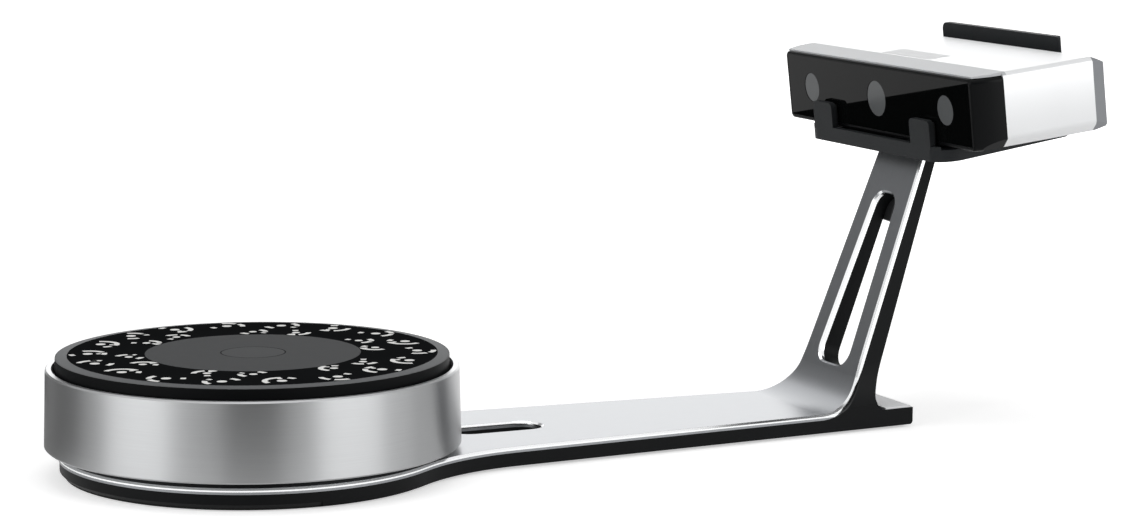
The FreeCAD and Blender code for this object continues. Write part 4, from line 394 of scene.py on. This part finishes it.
# The plate's lines run along the arm and up the column: the pattern is stretched that way.
plate_metal = brushed_aluminium(
    "plate_brushed_aluminium", "#808285", "#8C8E91", 0.33, (0.04, 1.0, 0.04), 0.4 * MM)
drum_metal = turned_aluminium("drum_turned_aluminium", "#9C9D9E", "#A4A5A6", 0.35)
# The neck ring sits back in the gap between drum and plate; its near-black tint is painted shade of
# that gap.
neck_shade_metal = turned_aluminium("neck_painted_shade_aluminium", "#161718", "#1E1F20", 0.4)
inlay_plastic = moulded_plastic("foot_inlay_grey_abs", "#E6E7E8", "#ECEDEE", 0.5, 0.6, 0.01, 0.1)
base_paint = powder_coat("base_black_powder_coat", "#0D0E0F", "#131415", 0.46, 0.07)
cover_paint = powder_coat("cover_black_powder_coat", "#1E2021", "#282A2B", 0.5, 0.2)
rim_plastic = bevelled_black("platter_rim_black_abs")
print_film = printed_film("marker_film_black_polyester", "#151617", "#1A1B1C", 0.6)
white_print = printed_film("marker_white_ink", "#F2F2F0", "#F8F8F6", 0.6)
pad_rubber = rubber("pad_grey_silicone", "#474849", "#4F5051", 0.7)
cap_rubber = rubber("cap_grey_silicone", "#48494A", "#505152", 0.66)
foot_rubber = rubber("foot_black_rubber", "#272828", "#313232", 0.82)
cradle_paint = powder_coat("cradle_charcoal_powder_coat", "#1F2122", "#26282A", 0.5, 0.12)
clip_plastic = moulded_plastic("clip_black_abs", "#161718", "#1D1E1F", 0.5, 0.6, 0.015, 0.2)
shell_paint = pearl_shell("shell_pearl_lacquer", "#DCDDDE", "#E2E3E4", 0.33)
brow_paint = painted_metal("brow_silver_lacquer", "#B4B6B8", "#BCBEC0", 0.36, 0.1)
bezel_plastic = moulded_plastic("bezel_black_pc_abs", "#090A0B", "#0D0E0F", 0.3, 0.8, 0.003, 0.06)
rear_plastic = moulded_plastic("rear_cap_grey_abs", "#828487", "#898B8E", 0.46, 0.6, 0.015, 0.15)
badge_paint = painted_metal("badge_grey_lacquer", "#DCDDDE", "#E2E3E4", 0.4, 0.05)
pane_glass = coated_glass("pane_smoked_glass", "#060707", "#090A0A", 0.07, 0.0)
window_glass = coated_glass("window_coated_glass", "#595B5C", "#5F6162", 0.12, 0.06)
lens_glass = coated_glass("lens_coated_glass", "#141A26", "#1E2230", 0.8)
steel = machined_metal("screw_zinc_steel", "#A9ABAD", "#BDBFC1", 0.3)
dark_steel = machined_metal("screw_black_oxide_steel", "#2A2B2C", "#363738", 0.36)
bearing_steel = machined_metal("bearing_chrome_steel", "#B4B6B8", "#C8CACC", 0.16, 0.4)
turned_brass = machined_metal("insert_brass", "#A98B4E", "#BC9C5C", 0.3)
milled_aluminium = machined_metal("deck_milled_aluminium", "#9A9C9E", "#ABADAF", 0.34)
sink_aluminium = machined_metal("heat_sink_black_aluminium", "#26282A", "#323436", 0.4)
belt_rubber = rubber("belt_black_neoprene", "#151515", "#1C1C1C", 0.7, 0.6)
pulley_plastic = moulded_plastic("pulley_white_acetal", "#C9C9C4", "#D6D6D1", 0.4)
module_plastic = moulded_plastic("module_black_pps", "#1A1B1C", "#242526", 0.46)
socket_plastic = moulded_plastic("socket_black_nylon", "#141516", "#1D1E1F", 0.4)
board_green = circuit_board("board_green_solder_mask")
packages = board_packages("board_parts_packages", ("#191A1B", "#2B2C2D", "#8C8E90", "#C9C6B8"))

FINISHES = {
    plate_metal: ("top_plate",),
    drum_metal: ("drum_ring",),
    neck_shade_metal: ("neck_ring",),
    inlay_plastic: ("foot_inlay",),
    base_paint: ("base_frame",),
    cover_paint: ("bottom_cover",),
    rim_plastic: ("platter",),
    print_film: ("marker_ring",),
    pad_rubber: ("anti_slip_pad",),
    cap_rubber: ("centre_cap",),
    foot_rubber: ("foot_ring", "rear_foot_pad", "cradle_pads"),
    cradle_paint: ("head_cradle",),
    clip_plastic: ("cable_clip",),
    shell_paint: ("head_sleeve",),
    brow_paint: ("brow_strip",),
    bezel_plastic: ("front_bezel",),
    rear_plastic: ("rear_cap",),
    badge_paint: ("badge_plate",),
    pane_glass: ("front_window",),
    window_glass: ("camera_windows", "projector_window"),
    lens_glass: ("lenses",),
    steel: ("drum_screws", "deck_screws", "housing_screws", "motor_screws", "board_standoffs",
            "board_spacers", "platter_screws", "head_screws"),
    dark_steel: ("bottom_cover_screws", "plate_screws", "cradle_screws"),
    bearing_steel: ("bearing_outer_races", "bearing_inner_races", "bearing_balls", "spindle",
                    "motor_shaft"),
    turned_brass: ("tripod_insert",),
    milled_aluminium: ("deck_plate", "bearing_housing", "optical_frame", "motor_body"),
    sink_aluminium: ("heat_sink",),
    belt_rubber: ("drive_belt",),
    pulley_plastic: ("platter_pulley", "motor_pulley"),
    module_plastic: ("camera_modules", "projector_module", "power_switch"),
    socket_plastic: ("usb_socket", "power_jack", "head_link_socket", "link_socket",
                     "power_button"),
    board_green: ("control_board", "main_board"),
    packages: ("board_parts",),
}

for finish, names in FINISHES.items():
    for name in names:
        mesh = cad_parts[name].data
        mesh.materials.clear()
        mesh.materials.append(finish)

# ---------------------------------------------------------------- coded marks on the platter

INK = 0.06 * MM
BAR = 2.7 * MM
MERGE = 1e-7
ARC_FACET = 9
DOT_SIDES = 20
# Radii of the middle dot and of a small dot, as shares of the mark's own radius.
MIDDLE_DOT = 0.26
SMALL_DOT = 0.13
# Each row is its count of places, its reach from the axis and the radius of its marks. A place
# holds one mark in the outer row and a pair in the inner row, this many degrees to either side.
OUTER_ROW = (18, 82.6 * MM, 9.7 * MM)
INNER_ROW = (6, 62.6 * MM, 7.9 * MM)
PAIR_HALF_ANGLE = 10.5
# Each code is its arcs as (start, sweep) in degrees from straight out, and the reach of its small
# dots as shares of the mark's radius.
CODES = (
    (((-62, 124), (150, 28)), (-0.62,)),
    (((-58, 52), (8, 50), (128, 24)), ()),
    (((-70, 78), (36, 26), (196, 34)), (-0.55,)),
    (((-34, 96), (-92, 22), (160, 40)), ()),
)


def select_nothing():
    """Deselects every object, so that an operator acts only on what is added next."""
    if bpy.context.mode != "OBJECT":
        bpy.ops.object.mode_set(mode="OBJECT")
    bpy.ops.object.select_all(action="DESELECT")


def ink_dot(radius, at):
    """Round spot of ink: a disc with its rim drawn down to the film."""
    select_nothing()
    bpy.ops.mesh.primitive_circle_add(
        vertices=DOT_SIDES, radius=radius, fill_type="NGON", location=(at, 0, 0))
    spot = bpy.context.object
    bpy.ops.object.mode_set(mode="EDIT")
    bpy.ops.mesh.select_all(action="SELECT")
    bpy.ops.mesh.extrude_region_move(TRANSFORM_OT_translate={"value": (0, 0, INK)})
    bpy.ops.mesh.select_all(action="SELECT")
    bpy.ops.mesh.normals_make_consistent(inside=False)
    bpy.ops.object.mode_set(mode="OBJECT")
    bpy.ops.object.transform_apply(location=True, rotation=True, scale=True)
    return spot


def ink_arc(radius, start, sweep):
    """Bar of ink bent round a mark's middle, from a start angle through a sweep in degrees."""
    select_nothing()
    bpy.ops.mesh.primitive_plane_add(
        size=1, location=(radius - BAR / 2, 0, INK / 2), rotation=(math.pi / 2, 0, 0))
    bar = bpy.context.object
    bar.scale = (BAR, INK, 1)
    bpy.ops.object.transform_apply(location=True, rotation=True, scale=True)
    bpy.ops.object.mode_set(mode="EDIT")
    bpy.ops.mesh.select_all(action="SELECT")
    steps = max(3, round(sweep / ARC_FACET))
    bpy.ops.mesh.spin(
        steps=steps, dupli=False, angle=math.radians(sweep), center=(0, 0, 0), axis=(0, 0, 1))
    bpy.ops.mesh.select_all(action="SELECT")
    bpy.ops.transform.rotate(
        value=math.radians(-start), orient_axis="Z", center_override=(0, 0, 0))
    bpy.ops.mesh.remove_doubles(threshold=MERGE)
    bpy.ops.mesh.normals_make_consistent(inside=False)
    bpy.ops.object.mode_set(mode="OBJECT")
    return bar


def ink_mark(name, radius, arcs, dots):
    """One coded mark: a middle dot, broken arcs round it and a few small dots."""
    parts = [ink_dot(radius * MIDDLE_DOT, 0.0)]
    parts += [ink_arc(radius, start, sweep) for start, sweep in arcs]
    parts += [ink_dot(radius * SMALL_DOT, radius * reach) for reach in dots]
    select_nothing()
    for part in parts:
        part.select_set(True)
    bpy.context.view_layer.objects.active = parts[0]
    bpy.ops.object.join()
    mark = bpy.context.object
    mark.name = name
    mark.data.materials.clear()
    mark.data.materials.append(white_print)
    return mark


def put_mark(pattern, name, reach, degrees):
    """Own copy of a mark, turned to face outwards and laid at its place on the film."""
    select_nothing()
    mark = pattern.copy()
    mark.data = pattern.data.copy()
    mark.name = name
    bpy.context.collection.objects.link(mark)
    turn = math.radians(degrees)
    mark.rotation_euler = (0, 0, turn)
    mark.location = (reach * math.cos(turn), reach * math.sin(turn), PRINT_LEVEL)
    mark.select_set(True)
    bpy.context.view_layer.objects.active = mark
    bpy.ops.object.transform_apply(location=True, rotation=True, scale=True)
    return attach(mark, "turntable")


def print_row(row, count, reach, radius, offsets):
    """Prints one row of marks and removes the patterns that they were copied from."""
    patterns = [ink_mark("pattern_%s_%d" % (row, index), radius, arcs, dots)
                for index, (arcs, dots) in enumerate(CODES)]
    angles = [index * 360 / count + offset for index in range(count) for offset in offsets]
    for index, degrees in enumerate(angles):
        # Codes change along the row, and their order shifts after each round of four.
        pattern = patterns[(index * 5 + index // 4) % len(patterns)]
        put_mark(pattern, "coded_mark_%s_%02d" % (row, index + 1), reach, degrees)
    for pattern in patterns:
        bpy.data.objects.remove(pattern)


print_row("outer", *OUTER_ROW, (0,))
print_row("inner", *INNER_ROW, (-PAIR_HALF_ANGLE, PAIR_HALF_ANGLE))

# ---------------------------------------------------------------- floor, light and camera

FLOOR_SIZE = 30
FLOOR_LEVEL = -0.5 * MM
CARD_LEVEL = 0.2 * MM
# The floor glows more from the first distance out to the second, into the white backdrop.
GLOW_REACH = (0.5, 1.6)
GLOW = (0.5, 1.0)
# Strength of the room for diffuse light, and as it is seen directly or in a mirror.
ROOM = (0.22, 1.0)

# Each lamp: name, place, the point it faces, width and height in metres, and watts.
SOFTBOXES = (
    ("softbox_right", (1.15, -1.65, 0.8), (0.15, 0, 0.1), 1.5, 1.4, 21),
    ("softbox_left", (-1.95, -0.15, 0.8), (0.1, 0, 0.1), 1.5, 1.4, 21),
    ("softbox_back", (0.95, 1.95, 0.75), (0.15, 0, 0.1), 1.6, 1.3, 7.5),
    ("softbox_top", (0.1, 0.1, 2.1), (0.15, 0, 0), 1.5, 1.5, 10),
)
FELTS = {"black": "#070707", "slate": "#4C4C4C", "grey": "#ACACAC"}
# Each standing card: name, place, the point it faces, width and height in metres, and felt.
STANDING_CARDS = (
    ("card_front", (-0.72, -2.0, 0.55), (0, 0, 0.05), 1.2, 1.1, "black"),
    ("card_back_left", (-0.28, 1.38, 0.52), (0.3, 0, 0.1), 0.6, 1.0, "grey"),
    ("card_far_left", (-0.98, 1.25, 0.3), (0, 0, 0.05), 0.95, 0.6, "slate"),
    ("card_right", (1.65, 0.1, 0.32), (0.1, 0, 0.05), 1.2, 0.65, "slate"),
)
# Each card on the floor: name, middle, width and length in metres, turn in degrees, and felt.
FLOOR_CARDS = (
    ("card_floor", (-0.2, -0.57), 0.3, 0.8, -19.5, "black"),
    ("card_floor_left", (-0.38, 0.35), 0.36, 0.8, 47, "grey"),
    ("card_pane", (-0.15, 0.52), 0.6, 0.56, 0, "black"),
)
# The last of them is cut off slantwise along the line through this point.
PANE_CARD_CUT = (0.005, 0.757, 0)
PANE_CARD_CUT_NORMAL = (-0.58, 0.815, 0)

LENS = 105.98
CAMERA_PLACE = (-0.55525, -1.56519, 0.34784)
CAMERA_TARGET = (0.1734, 0.0, 0.0954)
CAMERA_ROLL = 0.247


def seen_directly(tree):
    """1 for a ray from the camera, or mirrored or let through glass, and 0 for diffuse light."""
    path = add_node(tree, "ShaderNodeLightPath").outputs
    either = add_node(tree, "ShaderNodeMath", {"operation": "MAXIMUM"}, {
        0: path["Is Camera Ray"], 1: path["Is Glossy Ray"]})
    return add_node(tree, "ShaderNodeMath", {"operation": "MAXIMUM"}, {
        0: either, 1: path["Is Transmission Ray"]})


def studio_floor():
    """Pale floor that takes the object's soft shadow and runs out into the white backdrop."""
    select_nothing()
    bpy.ops.mesh.primitive_plane_add(size=FLOOR_SIZE, location=(0, 0, FLOOR_LEVEL))
    floor = bpy.context.object
    floor.name = "studio_floor"
    material, tree, shader, place = start_material("floor_pale_paper", Specular_IOR_Level=0.1)
    fibre = add_node(tree, "ShaderNodeTexNoise", inputs={"Vector": place, "Scale": 1 / (40 * MM)})
    tint = add_node(tree, "ShaderNodeMixRGB", inputs={
        "Fac": fibre, "Color1": linear("#EEEEEE"), "Color2": linear("#F4F4F4")})
    shine = add_node(tree, "ShaderNodeMapRange", inputs={
        "Value": fibre, "To Min": 0.85, "To Max": 0.95})
    surface(tree, shader, tint, shine)
    away = add_node(tree, "ShaderNodeVectorMath", {"operation": "LENGTH"}, {0: place})
    glow = add_node(tree, "ShaderNodeMapRange", inputs={
        "Value": away.outputs["Value"], "From Min": GLOW_REACH[0], "From Max": GLOW_REACH[1],
        "To Min": GLOW[0], "To Max": GLOW[1]})
    direct = add_node(tree, "ShaderNodeMath", {"operation": "MULTIPLY"}, {
        0: glow, 1: seen_directly(tree)})
    shader.inputs["Emission Color"].default_value = linear("#FFFFFF")
    tree.links.new(direct.outputs["Value"], shader.inputs["Emission Strength"])
    floor.data.materials.append(material)


def facing(at, towards):
    """Turn of a lamp or card at one point that faces another."""
    return (Vector(towards) - Vector(at)).to_track_quat("-Z", "Y").to_euler()


def softbox(name, at, towards, width, height, watts):
    """Area lamp that faces a point."""
    light = bpy.data.lights.new(name, "AREA")
    light.shape = "RECTANGLE"
    light.size = width
    light.size_y = height
    light.energy = watts
    lamp = bpy.data.objects.new(name, light)
    bpy.context.collection.objects.link(lamp)
    lamp.location = at
    lamp.rotation_euler = facing(at, towards)


def felt(name, tone):
    """Matt felt for the cards: it gives back no shine, and its nap lies in tufts of 3 mm."""
    material, tree, shader, place = start_material(name, Specular_IOR_Level=0.0)
    shader.inputs["Base Color"].default_value = linear(tone)
    nap = add_node(tree, "ShaderNodeTexNoise", inputs={
        "Vector": place, "Scale": 1 / (3 * MM), "Detail": 3.0})
    shine = add_node(tree, "ShaderNodeMapRange", inputs={
        "Value": nap, "To Min": 0.9, "To Max": 1.0})
    tree.links.new(shine.outputs["Result"], shader.inputs["Roughness"])
    return material


def card(name, at, turn, width, height, cloth):
    """Matt board that darkens what metal and glass mirror.

    It is left in mirror images only, so that it neither hides nor shades anything.
    """
    select_nothing()
    bpy.ops.mesh.primitive_plane_add(size=1, location=at, rotation=turn)
    board = bpy.context.object
    board.scale = (width, height, 1)
    bpy.ops.object.transform_apply(location=True, rotation=True, scale=True)
    board.name = name
    board.visible_camera = False
    board.visible_diffuse = False
    board.visible_shadow = False
    board.data.materials.append(cloth)


def cut_pane_card():
    """Cuts the card that was made last, so that the dark pane mirrors its slanting far edge."""
    bpy.ops.object.mode_set(mode="EDIT")
    bpy.ops.mesh.select_all(action="SELECT")
    bpy.ops.mesh.bisect(
        plane_co=PANE_CARD_CUT, plane_no=PANE_CARD_CUT_NORMAL, clear_outer=True)
    bpy.ops.object.mode_set(mode="OBJECT")


def studio_light():
    """Two wide softboxes in front, one behind and one above, dark cards, and a dim even room."""
    for lamp in SOFTBOXES:
        softbox(*lamp)
    felts = {shade: felt("card_%s_felt" % shade, tone) for shade, tone in FELTS.items()}
    for name, at, towards, width, height, shade in STANDING_CARDS:
        card(name, at, facing(at, towards), width, height, felts[shade])
    for name, middle, width, length, degrees, shade in FLOOR_CARDS:
        turn = (0, 0, math.radians(degrees))
        card(name, (*middle, CARD_LEVEL), turn, width, length, felts[shade])
    cut_pane_card()
    world = bpy.data.worlds.new("studio_room")
    bpy.context.scene.world = world
    world.use_nodes = True
    tree = world.node_tree
    backdrop = tree.nodes["Background"]
    backdrop.inputs["Color"].default_value = linear("#FFFFFF")
    level = add_node(tree, "ShaderNodeMapRange", inputs={
        "Value": seen_directly(tree), "To Min": ROOM[0], "To Max": ROOM[1]})
    tree.links.new(level.outputs["Result"], backdrop.inputs["Strength"])


def studio_camera():
    """Long lens, low and to the front left, aimed between drum and column."""
    camera = bpy.data.cameras.new("camera")
    camera.sensor_width = 36.0
    camera.lens = LENS
    camera.clip_start = 0.05
    camera.clip_end = 60
    view = bpy.data.objects.new("camera", camera)
    bpy.context.collection.objects.link(view)
    view.location = CAMERA_PLACE
    aim = Vector(CAMERA_TARGET) - Vector(CAMERA_PLACE)
    level_view = aim.to_track_quat("-Z", "Y").to_matrix().to_4x4()
    roll = Matrix.Rotation(math.radians(CAMERA_ROLL), 4, "Z")
    view.rotation_euler = (level_view @ roll).to_euler()
    bpy.context.scene.camera = view


studio_floor()
studio_light()
studio_camera()
bpy.context.scene.view_settings.view_transform = "Standard"
